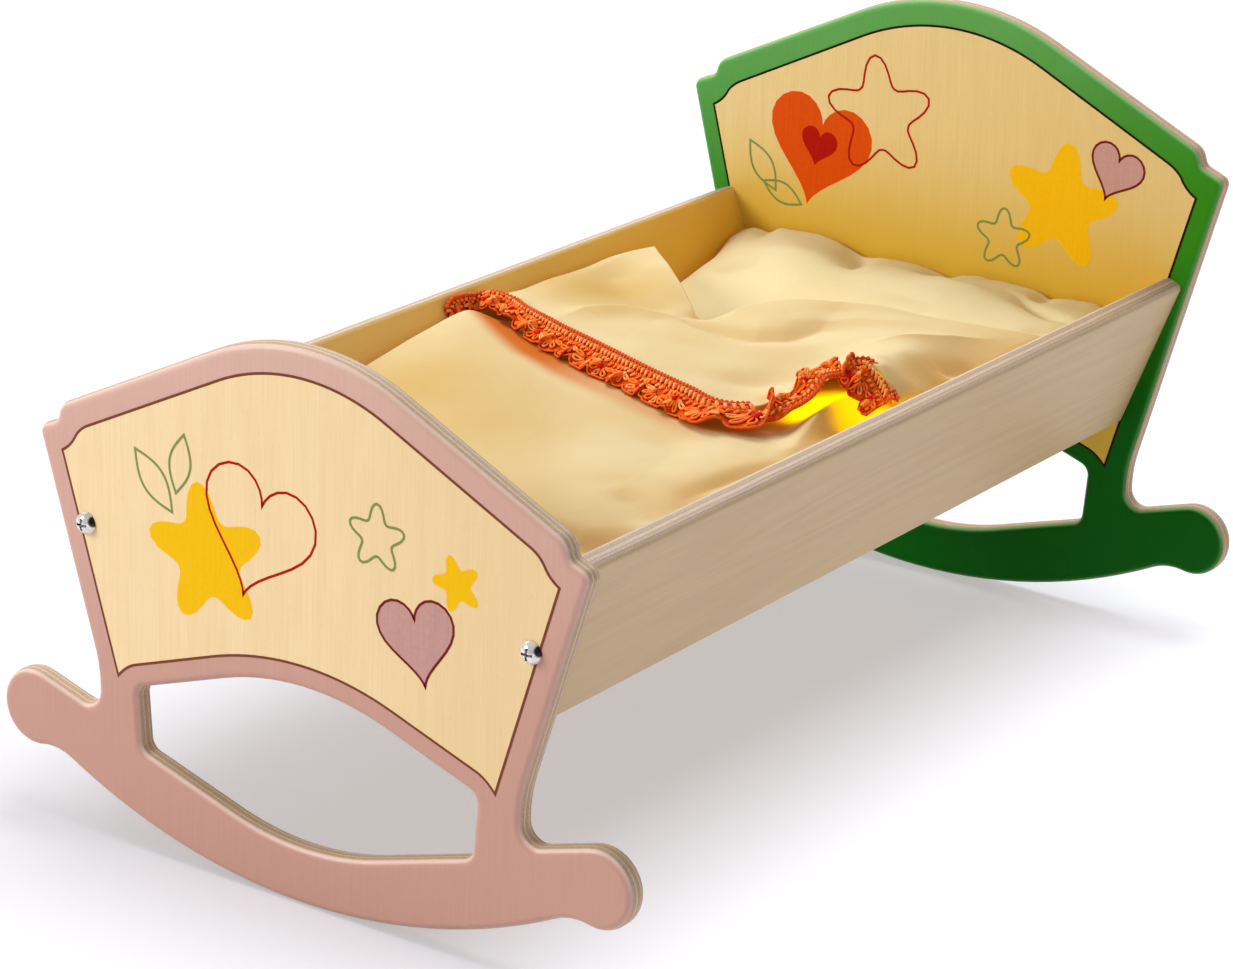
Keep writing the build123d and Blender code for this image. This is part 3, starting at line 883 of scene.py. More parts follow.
def print_panel(board_name, panel, motifs, line_ink, face_y, outward, side_name):
    """Panel, frame line and motifs on one face of a board."""
    outline = panel_outline(panel)
    stem = f"{board_name}_{side_name}"
    veneer = warm_birch if side_name == "inside" else panel_birch

    def lay(name, mesh, material):
        piece = new_piece(f"{stem}_{name}", *mesh, material, "cradle_frame")

    lay("panel", plate_mesh(outline, *layer(face_y, outward, panel_rise)), veneer)
    lay("frame_line", ribbon_mesh(outline, frame_line_width, *layer(face_y, outward, line_rise)), line_ink)
    mirror = -outward if board_name == "foot" else outward
    for number, (shape, centre, size, turn, fill, line) in enumerate(motifs):
        points = shape((mirror * centre[0], centre[1]), size, mirror * turn)
        step = number * motif_step
        if fill:
            lay(f"motif_{number}_fill", plate_mesh(points, *layer(face_y, outward, print_rise + step)), fill)
        if line:
            low_y, high_y = layer(face_y, outward, outline_rise + step)
            lay(f"motif_{number}_line", ribbon_mesh(points, motif_line_width, low_y, high_y), line)


print_panel("foot", foot_panel, foot_motifs, ink_brown, foot_low.y, -1, "outside")
print_panel("foot", foot_panel, foot_motifs, ink_brown, foot_high.y, 1, "inside")
print_panel("head", head_panel, head_motifs, ink_black, head_low.y, -1, "inside")
print_panel("head", head_panel, head_motifs, ink_black, head_high.y, 1, "outside")


# Bedding: surfaces in millimetres, laid between the side boards


def smooth_surface(places):
    """Height over (x, y) of the smoothest sheet through the given (x, y, z) places."""
    known = np.array(places, float)
    count = len(known)

    def pull(x, y):
        squared = (x[..., None] - known[:, 0]) ** 2 + (y[..., None] - known[:, 1]) ** 2
        return squared * np.log(squared + 1e-9)

    system = np.zeros((count + 3, count + 3))
    system[:count, :count] = pull(known[:, 0], known[:, 1])
    flat = np.stack([np.ones(count), known[:, 0], known[:, 1]], axis=1)
    system[:count, count:] = flat
    system[count:, :count] = flat.T
    weights = np.linalg.solve(system, np.concatenate([known[:, 2], np.zeros(3)]))

    def height(x, y):
        x, y = np.asarray(x, float), np.asarray(y, float)
        plane = weights[count] + weights[count + 1] * x + weights[count + 2] * y
        return pull(x, y) @ weights[:count] + plane

    return height


def smooth_line(places):
    """A value along x through the given (x, value) places, easing from one to the next."""
    known = np.array(places, float)
    rises = np.diff(known[:, 1]) / np.diff(known[:, 0])
    before, after = rises[:-1], rises[1:]
    inner = np.where(before * after > 0, 2 * before * after / (before + after + 1e-12), 0.0)
    slopes = np.concatenate([rises[:1], inner, rises[-1:]])

    def value(x):
        x = np.clip(np.asarray(x, float), known[0, 0], known[-1, 0])
        i = np.clip(np.searchsorted(known[:, 0], x) - 1, 0, len(known) - 2)
        width = known[i + 1, 0] - known[i, 0]
        t = (x - known[i, 0]) / width
        start, end = known[i, 1], known[i + 1, 1]
        return (
            start * (1 + 2 * t) * (1 - t) ** 2
            + end * t * t * (3 - 2 * t)
            + width * slopes[i] * t * (1 - t) ** 2
            - width * slopes[i + 1] * t * t * (1 - t)
        )

    return value


def ripples(x, y, size, seed):
    """Soft uneven waves between -1 and 1 over arrays of places."""
    spots = np.stack([np.ravel(x) / size, np.ravel(y) / size, np.full(np.size(x), float(seed))], axis=1)
    return np.array([noise.noise(Vector(spot)) for spot in spots]).reshape(np.shape(x))


def share_past(value, start, reach):
    """0 up to a start, 1 from a reach past it, and straight between them."""
    return np.clip((value - start) / reach, 0, 1)


def half_width_at(height):
    """Half the width between the side boards at a height, less a gap."""
    inner_foot = side_foot_x / mm - side_thick / mm / cos(side_tilt)
    return inner_foot + (height - side_foot_z / mm) * tan(side_tilt) - board_gap


# A fold is a path of (x, y) places, its height, the width of its two flanks and how crisp its line is.
# It eases from its path's ends over fold_ease of its length, where fold_end of its height is left.
fold_ease = 0.35
fold_end = 0.25


def fold_heights(x, y, folds):
    """Summed height of ridges (positive) and valleys (negative) at places (x, y)."""
    x, y = np.asarray(x, float), np.asarray(y, float)
    total = np.zeros(np.broadcast(x, y).shape)
    for path, height, left_width, right_width, crisp in folds:
        path = np.array(path, float)
        nearest = np.full(total.shape, 1e9)
        share, side = np.zeros(total.shape), np.ones(total.shape)
        lengths = np.hypot(*np.diff(path, axis=0).T)
        done, full = 0.0, lengths.sum()
        for (ax, ay), (bx, by), length in zip(path[:-1], path[1:], lengths):
            along_x, along_y = (bx - ax) / length, (by - ay) / length
            t = np.clip((x - ax) * along_x + (y - ay) * along_y, 0, length)
            off_x, off_y = x - ax - t * along_x, y - ay - t * along_y
            distance = np.hypot(off_x, off_y)
            closer = distance < nearest
            nearest = np.where(closer, distance, nearest)
            share = np.where(closer, (done + t) / full, share)
            side = np.where(closer, np.sign(along_x * off_y - along_y * off_x), side)
            done += length
        reach = nearest / np.where(side > 0, left_width, right_width)
        soft = np.exp(-(reach**2))
        sharp = np.exp(-1.6 * reach)
        taper = share_past(share, 0, fold_ease) * share_past(1 - share, 0, fold_ease)
        taper = fold_end + (1 - fold_end) * taper * taper * (3 - 2 * taper)
        total = total + height * taper * ((1 - crisp) * soft + crisp * sharp)
    return total


def cloth_surface(places, folds, depth, ripple_height, ripple_size, seed):
    """Height over (x, y) of a cloth: the smoothest sheet through its places, with folds and ripples."""
    base = smooth_surface(places)

    def height(x, y):
        creased = base(x, y) + depth * fold_heights(x, y, folds)
        return creased + ripple_height * ripples(x, y, ripple_size, seed)

    return height


# Room the bedding leaves to the boards, to the mattress under it, and to the end boards
board_gap, floor_gap, end_gap = 0.8, 0.4, 1.2
bed_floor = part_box("mattress_cover")[1].z / mm + floor_gap
bed_foot_y = foot_high.y / mm + end_gap
bed_head_y = head_low.y / mm - end_gap

pillow_top = cloth_surface(
    [
        (-104, 234, 159), (-85, 234, 161.5), (-59, 234, 161.5), (-45, 234, 158), (-21, 234, 158),
        (4, 234, 156.5), (22, 234, 158), (38, 234, 158.5), (52, 234, 158), (68, 234, 156.5), (89, 234, 157),
        (104, 234, 154),
        (-104, 200, 155), (-60, 200, 161.5), (0, 196, 163), (50, 200, 161.5), (100, 200, 158),
        (-104, 165, 149), (-60, 165, 153), (0, 165, 158), (60, 165, 158), (104, 165, 154),
        (-100, 130, 145), (-40, 130, 147), (20, 130, 149), (100, 130, 147),
        (-100, 116, 141), (0, 116, 142), (100, 116, 141),
    ],
    [
        (((-42, 240), (-36, 222), (-24, 196)), -5.0, 7, 9, 0.4),
        (((6, 240), (10, 222), (14, 208)), -3.5, 6, 7, 0.4),
        (((63, 240), (66, 226), (70, 214)), -3.0, 5, 6, 0.4),
        (((-98, 240), (-92, 222)), -2.5, 5, 5, 0.3),
        (((56, 217), (74, 206), (96, 198)), -4.5, 3, 9, 0.7),
        (((-80, 204), (-54, 201), (-32, 206)), 1.8, 10, 12, 0.2),
        (((0, 212), (30, 203), (52, 205)), 2.0, 8, 12, 0.2),
        (((-30, 176), (0, 182), (34, 178), (52, 190)), -2.2, 8, 12, 0.3),
        (((-96, 176), (-80, 184), (-66, 196)), -2.5, 6, 10, 0.3),
        (((84, 172), (96, 182), (104, 194)), -2.0, 5, 8, 0.3),
    ],
    depth=1.1,
    ripple_height=0.5,
    ripple_size=17,
    seed=5,
)

quilt_lower = cloth_surface(
    [
        (-115, -232, 154), (-60, -232, 158.5), (0, -232, 158.5), (60, -232, 158), (112, -232, 154),
        (-115, -160, 156.5), (-60, -160, 163), (0, -160, 164), (60, -160, 163.5), (96, -150, 162.5),
        (-115, -90, 161), (-60, -90, 166), (0, -90, 166.5), (60, -80, 165), (98, -106, 163), (113, -88, 161),
        (-115, -52, 165), (-113, -20, 168.5), (-70, -50, 168.5), (0, -58, 167.5), (50, -66, 165),
        (-112, -2, 170), (-107, 4, 170.5), (-89, -5, 169.5), (-69, -18, 168.5), (-40, -32, 168),
        (8, -47, 167), (-108, 20, 163), (-92, 12, 164.5), (-74, 4, 164.5), (-48, -7, 164.5),
        (-20, -18, 164.5), (10, -29, 164.5),
        (113, -185, 153), (98, -190, 160), (112, -155, 160), (112, -124, 156), (96, -132, 162),
        (112, -55, 160), (96, -35, 161), (90, -5, 160), (84, 26, 160), (72, 4, 158), (104, 10, 156),
        (113, -15, 158), (-60, 60, 161), (0, 60, 161), (60, 60, 160), (-100, 60, 160), (100, 60, 158),
        (0, 110, 160), (-90, 110, 160), (90, 110, 160),
    ],
    [
        (((85, 46), (84, 30), (85, 8), (91, -16), (99, -44)), 8.0, 7, 7, 0.35),
        (((112, 8), (104, 2), (100, -8)), -4.0, 5, 6, 0.5),
        (((68, -134), (90, -146), (110, -158)), -2.6, 10, 9, 0.3),
        (((97, -121), (101, -88), (107, -52)), -2.5, 5, 6, 0.5),
        (((66, -190), (92, -190), (112, -176)), -3.6, 8, 13, 0.35),
        (((-96, -36), (-60, -60), (-10, -96), (30, -120)), 1.6, 24, 24, 0.0),
        (((-104, -120), (-40, -150), (30, -186)), -1.5, 20, 24, 0.0),
        (((40, -60), (64, -84), (74, -120)), -1.4, 12, 14, 0.2),
        (((-108, -224), (-60, -205), (0, -210), (70, -200)), -1.6, 10, 10, 0.2),
    ],
    depth=1.15,
    ripple_height=0.35,
    ripple_size=30,
    seed=2,
)

# The lace's corded line along the free edge, and the turned back layer behind it
free_edge = [
    (-121.0, 25.5, 172.0), (-113.5, 25.3, 172.0), (-106.0, 24.5, 172.8), (-96.0, 23.0, 172.2),
    (-86.0, 17.0, 172.0), (-63.0, 6.5, 172.0), (-35.0, -4.0, 172.0), (1.6, -19.0, 172.0),
    (38.7, -32.0, 171.5), (54.0, -37.0, 171.0), (65.0, -33.0, 171.0), (71.5, -22.0, 172.2),
    (74.5, -11.0, 175.6), (77.0, -2.0, 182.6), (80.5, 5.0, 182.6), (88.0, 12.0, 183.4),
    (97.0, 16.5, 184.6), (106.0, 15.0, 179.0), (117.0, 8.0, 173.0),
]
# The lace's loose end, tucked down between the quilt and the left side board
lace_tail = [(-118.0, -3.0, 171.0), (-118.6, 4.0, 174.4), (-118.3, 12.0, 173.8), (-117.0, 20.0, 172.4)]
edge_y = smooth_line([(x, y) for x, y, z in free_edge])
# Along x: where the fold's nose lies, how round it is, and how far the hem stays behind the corded line
nose_y = smooth_line(
    [
        (-117, 164), (-106, 153), (-93, 139), (-80, 126), (-58, 104), (-42, 89), (-31, 80), (-20, 94),
        (-7, 108), (13, 122), (38, 132), (65, 135), (86, 140), (105, 153), (117, 158),
    ]
)
nose_roll = smooth_line([(-117, 3.5), (-60, 3.5), (-40, 4.5), (-24, 5.5), (0, 6.0), (60, 6.0), (117, 6.0)])
hem_inset = smooth_line([(-119, 0.0), (-108, 1.0), (-96, 4.5), (60, 4.5), (72, 2.5), (98, 2.5), (117, 2.0)])
quilt_upper = cloth_surface(
    free_edge
    + [
        (-117.6, 44, 170), (-118, 80, 172), (-117.5, 120, 170.5), (-116, 150, 167), (-95, 60, 171),
        (-95, 100, 166.5), (-98, 130, 169.5), (-80, 40, 171), (-80, 80, 166.5), (-80, 112, 170.5),
        (-60, 60, 169), (-60, 92, 170), (-40, 30, 170.5), (-42, 60, 168), (-42, 84, 168), (-20, 50, 169.5),
        (-20, 80, 167), (0, 30, 169), (0, 70, 168), (0, 96, 171), (30, 10, 169), (30, 60, 168.5),
        (30, 95, 168.5), (30, 118, 171.5), (58, 10, 168.5), (60, 50, 170), (60, 124, 170.5),
        (64, -12, 169.0), (68, 20, 172), (84, 30, 182.5), (92, 34, 181), (86, 56, 178), (84, 80, 174),
        (92, 128, 169.5),
        (104, 40, 172), (104, 80, 165), (115, 50, 163), (115, 100, 162), (112, 145, 165), (78, 104, 171.5),
    ],
    [
        (((-112, 126), (-105, 118), (-87, 96), (-69, 74), (-56, 62)), -0.9, 16, 12, 0.0),
        (((-66, 14), (-64, 34), (-53, 50), (-36, 57), (-10, 50)), 3.0, 7, 10, 0.45),
        (((-48, 66), (-30, 56), (-17, 58), (9, 60), (22, 70), (27, 88), (22, 108)), -3.0, 8, 10, 0.35),
        (((-26, 96), (-28, 80), (-32, 66)), -3.0, 6, 5, 0.5),
        (((60, 62), (67, 74), (78, 91), (96, 122)), 2.4, 9, 8, 0.75),
        (((99, 66), (103, 83), (106, 98)), -2.5, 6, 6, 0.4),
        (((24, -8), (46, 6), (58, 24), (60, 44)), -1.6, 12, 10, 0.2),
        (((60, -24), (66, 2), (66, 28)), -2.0, 5, 5, 0.3),
        (((-104, 40), (-110, 70), (-112, 100)), -1.2, 8, 8, 0.2),
        (((6, 84), (36, 104), (72, 116)), 1.6, 9, 12, 0.2),
    ],
    depth=1.2,
    ripple_height=0.30,
    ripple_size=26,
    seed=9,
)

# The quilt's lengthwise section: thickness of the folded back layer, the steps along its stretches, the
# height at which its width is taken, and places along y, in millimetres
hem_thick = 3.6
low_steps, nose_steps, top_steps, under_steps, turn_steps = 60, 16, 140, 60, 12
quilt_level = 166.0
pillow_start_y = 112
foot_inset, foot_round, nose_inset, nose_foot, flap_end, back_start = 6, 9, 12, 6, 22, 23
quilt_columns, pillow_columns = 201, 141
# How far the quilt and the pillow fall at the side boards, and how much less in the pillow's full corner
quilt_fall, pillow_fall, corner_fill = 5.0, 9.0, 6.5


def half_turn(start, end, count):
    """Angles between a start and an end, both left out."""
    return np.linspace(start, end, count + 2)[1:-1]


def spread_shares(count, bent):
    """Shares from -1 to 1 that draw together towards both ends."""
    even = np.linspace(-1, 1, count)
    return (1 - bent) * even + bent * np.sin(even * pi / 2)


def quilt_profile(x_share):
    """One closed lengthwise section of the quilt, as arrays of y and z, at a share of the half width."""
    reach = half_width_at(quilt_level) * x_share
    fold_y, roll = float(nose_y(reach)), float(nose_roll(reach))
    edge = float(edge_y(reach) - hem_inset(reach))
    bottom_y = np.linspace(bed_foot_y + foot_inset, fold_y - nose_inset, low_steps)
    on_pillow = pillow_top(np.full(low_steps, reach), bottom_y) + 1.0
    bottom_z = np.where(bottom_y > pillow_start_y, np.maximum(bed_floor, on_pillow), bed_floor)
    top_y = np.linspace(fold_y - roll, edge, top_steps)
    top_z = quilt_upper(np.full(top_steps, reach), top_y)
    turn = half_turn(-pi / 2, pi / 2, nose_steps)
    middle, half = (top_z[0] + bottom_z[-1]) / 2, (top_z[0] - bottom_z[-1]) / 2
    lean = (turn + pi / 2) / pi
    bulge = (roll * lean + nose_foot * (1 - lean)) * np.cos(turn) ** 0.8
    turned_y = bottom_y[-1] + (top_y[0] - bottom_y[-1]) * lean + bulge
    turned_z = middle + half * np.sin(turn)
    under_y = np.linspace(edge, fold_y - flap_end, under_steps)
    under_z = quilt_upper(np.full(under_steps, reach), under_y) - hem_thick
    back_y = np.linspace(fold_y - back_start, bed_foot_y + foot_round, low_steps * 2)
    back_x = np.full(low_steps * 2, reach)
    above = quilt_upper(back_x, np.maximum(back_y, edge)) - hem_thick - 0.5
    back_z = quilt_lower(back_x, back_y)
    back_z = np.where(back_y > edge - 4, np.minimum(back_z, above), back_z)
    foot_turn = half_turn(pi / 2, -pi / 2, turn_steps)
    foot_middle, foot_half = (back_z[-1] + bed_floor) / 2, (back_z[-1] - bed_floor) / 2
    foot_y = bed_foot_y + foot_round - foot_round * np.cos(foot_turn) ** 0.6
    foot_z = foot_middle + foot_half * np.sin(foot_turn)
    hem_y = edge - np.array([1.2, 1.6, 1.2])
    hem_z = top_z[-1] - hem_thick * np.array([0.2, 0.5, 0.8])
    y = np.concatenate([bottom_y, turned_y, top_y, hem_y, under_y, back_y, foot_y])
    z = np.concatenate([bottom_z, turned_z, top_z, hem_z, under_z, back_z, foot_z])
    return y, z


def make_quilt():
    columns = []
    for share in spread_shares(quilt_columns, 0.28):
        y, z = quilt_profile(share)
        shoulder = share_past(abs(share), 0.90, 0.10)
        z = z - quilt_fall * shoulder**2 * share_past(z, bed_floor + 14, 10)
        x = share * half_width_at(z)
        columns.append(np.stack([x, y, z], axis=1) * mm)
    quilt = new_piece("quilt", *loop_mesh(columns), yellow_cotton, "loose_quilt", smooth=True)
    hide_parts("duvet")


# The pillow: the height at which its width is taken, its front, how far its ends are rounded, and its steps
pillow_level = 158.0
pillow_front_y = 118.0
pillow_round = 4
pillow_top_steps, pillow_low_steps = 110, 40


def make_pillow():
    columns = []
    for share in spread_shares(pillow_columns, 0.4):
        reach = half_width_at(pillow_level) * share
        top_y = np.linspace(pillow_front_y + pillow_round, bed_head_y - pillow_round, pillow_top_steps)
        top_z = pillow_top(np.full(pillow_top_steps, reach), top_y)
        top_z = top_z + share_past(top_y, 218, 18) ** 2 * 0.8 * float(ripples(reach, 0.0, 7, 3))
        turn = half_turn(pi / 2, -pi / 2, turn_steps)
        back_half = (top_z[-1] - bed_floor) / 2
        back_y = bed_head_y - pillow_round + pillow_round * np.cos(turn) ** 0.7
        back_z = bed_floor + back_half + back_half * np.sin(turn)
        front_half = (top_z[0] - bed_floor) / 2
        front_turn = turn[::-1]
        front_y = pillow_front_y + pillow_round - pillow_round * np.cos(front_turn)
        front_z = bed_floor + front_half + front_half * np.sin(front_turn)
        bottom_y = np.linspace(bed_head_y - pillow_round, pillow_front_y + pillow_round, pillow_low_steps)
        y = np.concatenate([top_y, back_y, bottom_y, front_y])
        z = np.concatenate([top_z, back_z, np.full(pillow_low_steps, bed_floor), front_z])
        shoulder = share_past(abs(share), 0.86, 0.14)
        full_corner = share_past(y, 196, 26) * (share < 0)
        fall = pillow_fall - corner_fill * full_corner
        z = z - fall * shoulder**2.5 * share_past(z, bed_floor, 20)
        x = share * half_width_at(z) * (1 - 0.015 * np.sin(share_past(y, pillow_front_y, 120) * pi))
        columns.append(np.stack([x, y, z], axis=1) * mm)
    pillow = new_piece("pillow_cushion", *loop_mesh(columns), pillow_cotton, "loose_pillow", smooth=True)
    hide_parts("pillow")


make_quilt()
make_pillow()


# Mattress: a foam core in a piped cotton cover

# Share of the half width over which an end is rounded, loops across, and points round each loop
end_share = 0.05
cushion_columns, cushion_steps = 61, 220


def bed_cushion(low, high, y_reach, radius, crown):
    """Loops of a flat cushion with rounded edges, as wide as the room between the side boards."""
    loops = []
    for share in np.sin(np.linspace(-pi / 2, pi / 2, cushion_columns)):
        end = share_past(abs(share), 1 - end_share, end_share)
        inset = radius * (1 - np.sqrt(1 - min(end * end, 0.985)))
        half_y, low_z, high_z = y_reach - inset, low + inset, high - inset
        corners = ((half_y, high_z, 0), (-half_y, high_z, 1), (-half_y, low_z, 2), (half_y, low_z, 3))
        y, z = [], []
        for corner_y, corner_z, quarter in corners:
            centre_y = corner_y - radius * np.sign(corner_y)
            centre_z = corner_z + radius * (-1 if quarter < 2 else 1)
            turn = np.linspace(0, pi / 2, 7) + quarter * pi / 2
            y += list(centre_y + radius * np.cos(turn))
            z += list(centre_z + radius * np.sin(turn))
        y, z = spread_loop(np.array(y), np.array(z), cushion_steps)
        top = share_past(z, high - radius, radius)
        z = z - crown * top * (1 - (1 - share**4) * (1 - (y / y_reach) ** 4))
        x = share * (half_width_at(z) - 0.4)
        loops.append(np.stack([x, y, z], axis=1) * mm)
    return loops


def spread_loop(y, z, count):
    """The closed loop through (y, z), with its points spread evenly."""
    y, z = np.append(y, y[0]), np.append(z, z[0])
    lengths = np.concatenate([[0], np.cumsum(np.hypot(np.diff(y), np.diff(z)))])
    at = np.linspace(0, lengths[-1], count + 1)[:-1]
    return np.interp(at, lengths, y), np.interp(at, lengths, z)


def make_mattress():
    low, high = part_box("mattress_cover")
    cover = bed_cushion(low.z / mm, high.z / mm, high.y / mm, 5.0, 1.2)
    mattress = new_piece("mattress", *loop_mesh(cover), yellow_cotton, "loose_mattress", smooth=True)
    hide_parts("mattress_cover")
    low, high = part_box("mattress_foam")
    core = bed_cushion(low.z / mm, high.z / mm, high.y / mm, 4.0, 1.4)
    core = [loop * np.array([0.985, 1.0, 1.0]) for loop in core]
    foam = new_piece("foam_core", *loop_mesh(core), make_foam(), "loose_mattress", smooth=True)
    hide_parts("mattress_foam")


make_mattress()


def thread_rings(path, along, radii, sides):
    """Rings of points round a path of 3D points, from its directions and its thickness at each point."""
    along = along / (np.linalg.norm(along, axis=1)[:, None] + 1e-12)
    side = np.cross(along, np.array([0.0, 0.0, 1.0]))
    weak = np.linalg.norm(side, axis=1) < 0.15
    side[weak] = np.cross(along[weak], np.array([0.0, 1.0, 0.0]))
    side /= np.linalg.norm(side, axis=1)[:, None] + 1e-12
    upright = np.cross(side, along)
    angles = np.arange(sides) * 2 * pi / sides
    round_side = np.cos(angles)[None, :, None] * side[:, None, :]
    round_up = np.sin(angles)[None, :, None] * upright[:, None, :]
    rings = path[:, None, :] + np.broadcast_to(radii, len(path))[:, None, None] * (round_side + round_up)
    return rings.reshape(-1, 3)


def closed_thread(path, radius, sides=8):
    """Points and faces of a round thread along a closed path of 3D points."""
    path = np.array(path, float)
    along = np.roll(path, -1, axis=0) - np.roll(path, 1, axis=0)
    return thread_rings(path, along, radius, sides) * mm, joined_loops(len(path), sides, closed=True)


piping_radius = 1.15
piping_inset = 1.9
piping_step = 4.0
piping_corner = 5.0


def edge_ring(height, y_reach):
    """A closed level ring just inside the side boards, with rounded corners, in millimetres."""
    x_reach = half_width_at(height) - piping_inset
    ring = []
    for x_sign, y_sign, start in ((1, 1, 0), (-1, 1, 90), (-1, -1, 180), (1, -1, 270)):
        centre = (x_sign * (x_reach - piping_corner), y_sign * (y_reach - piping_corner))
        ring += [(x, y, height) for x, y in arc(centre, piping_corner, start, start + 90, 8)]
    spaced = []
    for here, after in zip(ring, ring[1:] + ring[:1]):
        parts = max(1, int(hypot(after[0] - here[0], after[1] - here[1]) / piping_step))
        for k in range(parts):
            spaced.append(tuple(a + (b - a) * k / parts for a, b in zip(here, after)))
    return spaced


def make_piping():
    """Corded piping round the mattress cover's top and bottom edges."""
    low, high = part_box("mattress_cover")
    y_reach = high.y / mm - 1.5
    upper = closed_thread(edge_ring(high.z / mm - 2.4, y_reach), piping_radius)
    lower = closed_thread(edge_ring(low.z / mm + 1.5, y_reach), piping_radius)
    count = len(upper[0])
    points = np.concatenate([upper[0], lower[0]])
    faces = upper[1] + [[i + count for i in face] for face in lower[1]]
    piping = new_piece("mattress_piping", points, faces, yellow_cotton, "loose_mattress", smooth=True)


make_piping()


# Crocheted lace along the quilt's free edge


def tube_mesh(path, radii, sides):
    """Points and faces of a round thread along a path of 3D points, its thickness given at each point."""
    path = np.array(path, float)
    points = thread_rings(path, np.gradient(path, axis=0), radii, sides)
    return points, joined_loops(len(path), sides) + loop_ends(len(path), sides)


def gather_threads(threads, sides=6):
    """One mesh from many (path, radii) threads."""
    points, faces, start = [], [], 0
    for path, radii in threads:
        tube_points, tube_faces = tube_mesh(path, radii, sides)
        points.append(tube_points)
        faces += [[start + i for i in face] for face in tube_faces]
        start += len(tube_points)
    return np.concatenate(points) * mm, faces


# The band: its width, the part of it that lies flat on the quilt, and the ruffle past that, in millimetres
lace_width = 20.0
lace_flat = 4.6
lace_ruffle = 2.6
lace_wave = 19.0
lace_bunch = 2.2
# A second, quicker wave in the ruffle: its pace and start, and its shares in height and along the band
quick_pace, quick_start, quick_height, quick_bunch = 2.3, 1.3, 0.45, 1.0
# Share of the band's loose end that hangs straight down, along its length, and how far it falls
lace_tuck = smooth_line([(0, 1), (20, 1), (34, 0), (300, 0)])
tucked_fall = 0.6
# How much of its width the ruffled band shows along x
lace_gather = smooth_line([(-121, 0.7), (-112, 0.62), (-80, 0.66), (-60, 0.82), (-44, 1.0), (117, 1.0)])
# How far the rim drops off the quilt along x
lace_drop = smooth_line(
    [
        (-119, 9), (-96, 6), (-70, 5), (-40, 5), (0, 6), (40, 6), (60, 4), (72, 1), (88, 2), (98, 7),
        (117, 9),
    ]
)
# Half turns of the band along x: it is folded over itself on the raised hump, where it is narrower
lace_turn = smooth_line([(-119, 0), (66, 0), (72, 1), (84, 1), (91, 2), (117, 2)])
lace_gathered = 0.3
lace_pinch = 0.45
# Spacing of the beads, the bars and the fans along the band, and where a fan starts across it
bead_pitch = 2.3
bar_pitch = 2.9
fan_pitch = 13.5
fan_root = 10.2
fan_spokes = 6
fan_half_angle = 76
# Where the scalloped rim lies between its scallops, and how far they stand out of that
rim_inner, rim_scallop = 15.0, 4.0
# Length over which the band's direction is taken
lace_reach = 4.0


class LacePath:
    """The corded line along the free edge, walked by length, with the band's own directions."""

    def __init__(self, places):
        known = np.array(places, float)
        shares = np.linspace(0, 1, len(known))
        dense = np.linspace(0, 1, 1200)
        lines = [smooth_line(list(zip(shares, known[:, axis]))) for axis in range(3)]
        self.curve = np.stack([line(dense) for line in lines], axis=1)
        steps = np.linalg.norm(np.diff(self.curve, axis=0), axis=1)
        self.lengths = np.concatenate([[0], np.cumsum(steps)])
        self.length = self.lengths[-1]

    def at(self, s):
        return np.stack([np.interp(s, self.lengths, self.curve[:, k]) for k in range(3)], axis=-1)

    def outward(self, s):
        """Level direction off the quilt's edge at a length."""
        along = self.at(np.asarray(s) + lace_reach) - self.at(np.asarray(s) - lace_reach)
        flat = along[..., :2] / np.linalg.norm(along[..., :2], axis=-1)[..., None]
        return np.stack([flat[..., 1], -flat[..., 0], np.zeros_like(flat[..., 0])], axis=-1)

    def place(self, s, w, lift):
        """A thread's place in millimetres: length s, distance w off the cord, height over the band."""
        s, w, lift = np.broadcast_arrays(np.asarray(s, float), np.asarray(w, float), np.asarray(lift, float))
        start = self.at(s)
        turned = lace_turn(start[..., 0])
        turn = pi * turned
        middle = lace_width / 2
        narrow = 1 - lace_gathered * (1 - np.abs(1 - turned))
        pinch = (1 - lace_pinch * np.abs(np.sin(turn))) * narrow
        across = (middle * narrow + (w - middle) * np.cos(turn) * pinch) * lace_gather(start[..., 0])
        rise = (w - middle) * np.sin(turn) * pinch
        hang = np.clip(across - lace_flat, 0, None) / (lace_width - lace_flat)
        rim = np.clip((w - lace_flat) / (lace_width - lace_flat), 0, 1.2)
        wave = 2 * pi * s / lace_wave
        ruffle = lace_ruffle * rim * (np.sin(wave) + quick_height * np.sin(quick_pace * wave + quick_start))
        bunch = lace_bunch * rim * np.cos(wave) + quick_bunch * rim * np.cos(quick_pace * wave)
        tuck = lace_tuck(s)
        drop = (1 - tuck) * lace_drop(start[..., 0])
        out = self.outward(s)
        along = np.stack([-out[..., 1], out[..., 0], np.zeros_like(out[..., 0])], axis=-1)
        level_reach = across * (1 - 0.02 * drop * hang) * (1 - 0.85 * tuck) + lift * tuck
        spot = start + out * level_reach[..., None] + along * bunch[..., None]
        on_quilt = across < lace_flat
        rest = np.maximum(spot[..., 2], quilt_upper(spot[..., 0], spot[..., 1]) + 0.3)
        flat_z = np.where(on_quilt, rest, spot[..., 2]) + lift + rise + ruffle - drop * hang**1.2
        tucked_z = start[..., 2] - tucked_fall * across
        spot[..., 2] = flat_z * (1 - tuck) + tucked_z * tuck
        floor = quilt_lower(spot[..., 0], spot[..., 1]) + 0.7 + 0.6 * lift - lace_width * tuck
        spot[..., 2] = np.maximum(spot[..., 2], floor)
        return spot


def lace_rim(s, pitch):
    """Distance of the scalloped rim off the cord at a length."""
    return rim_inner + rim_scallop * np.abs(np.sin(pi * s / pitch)) ** 0.7


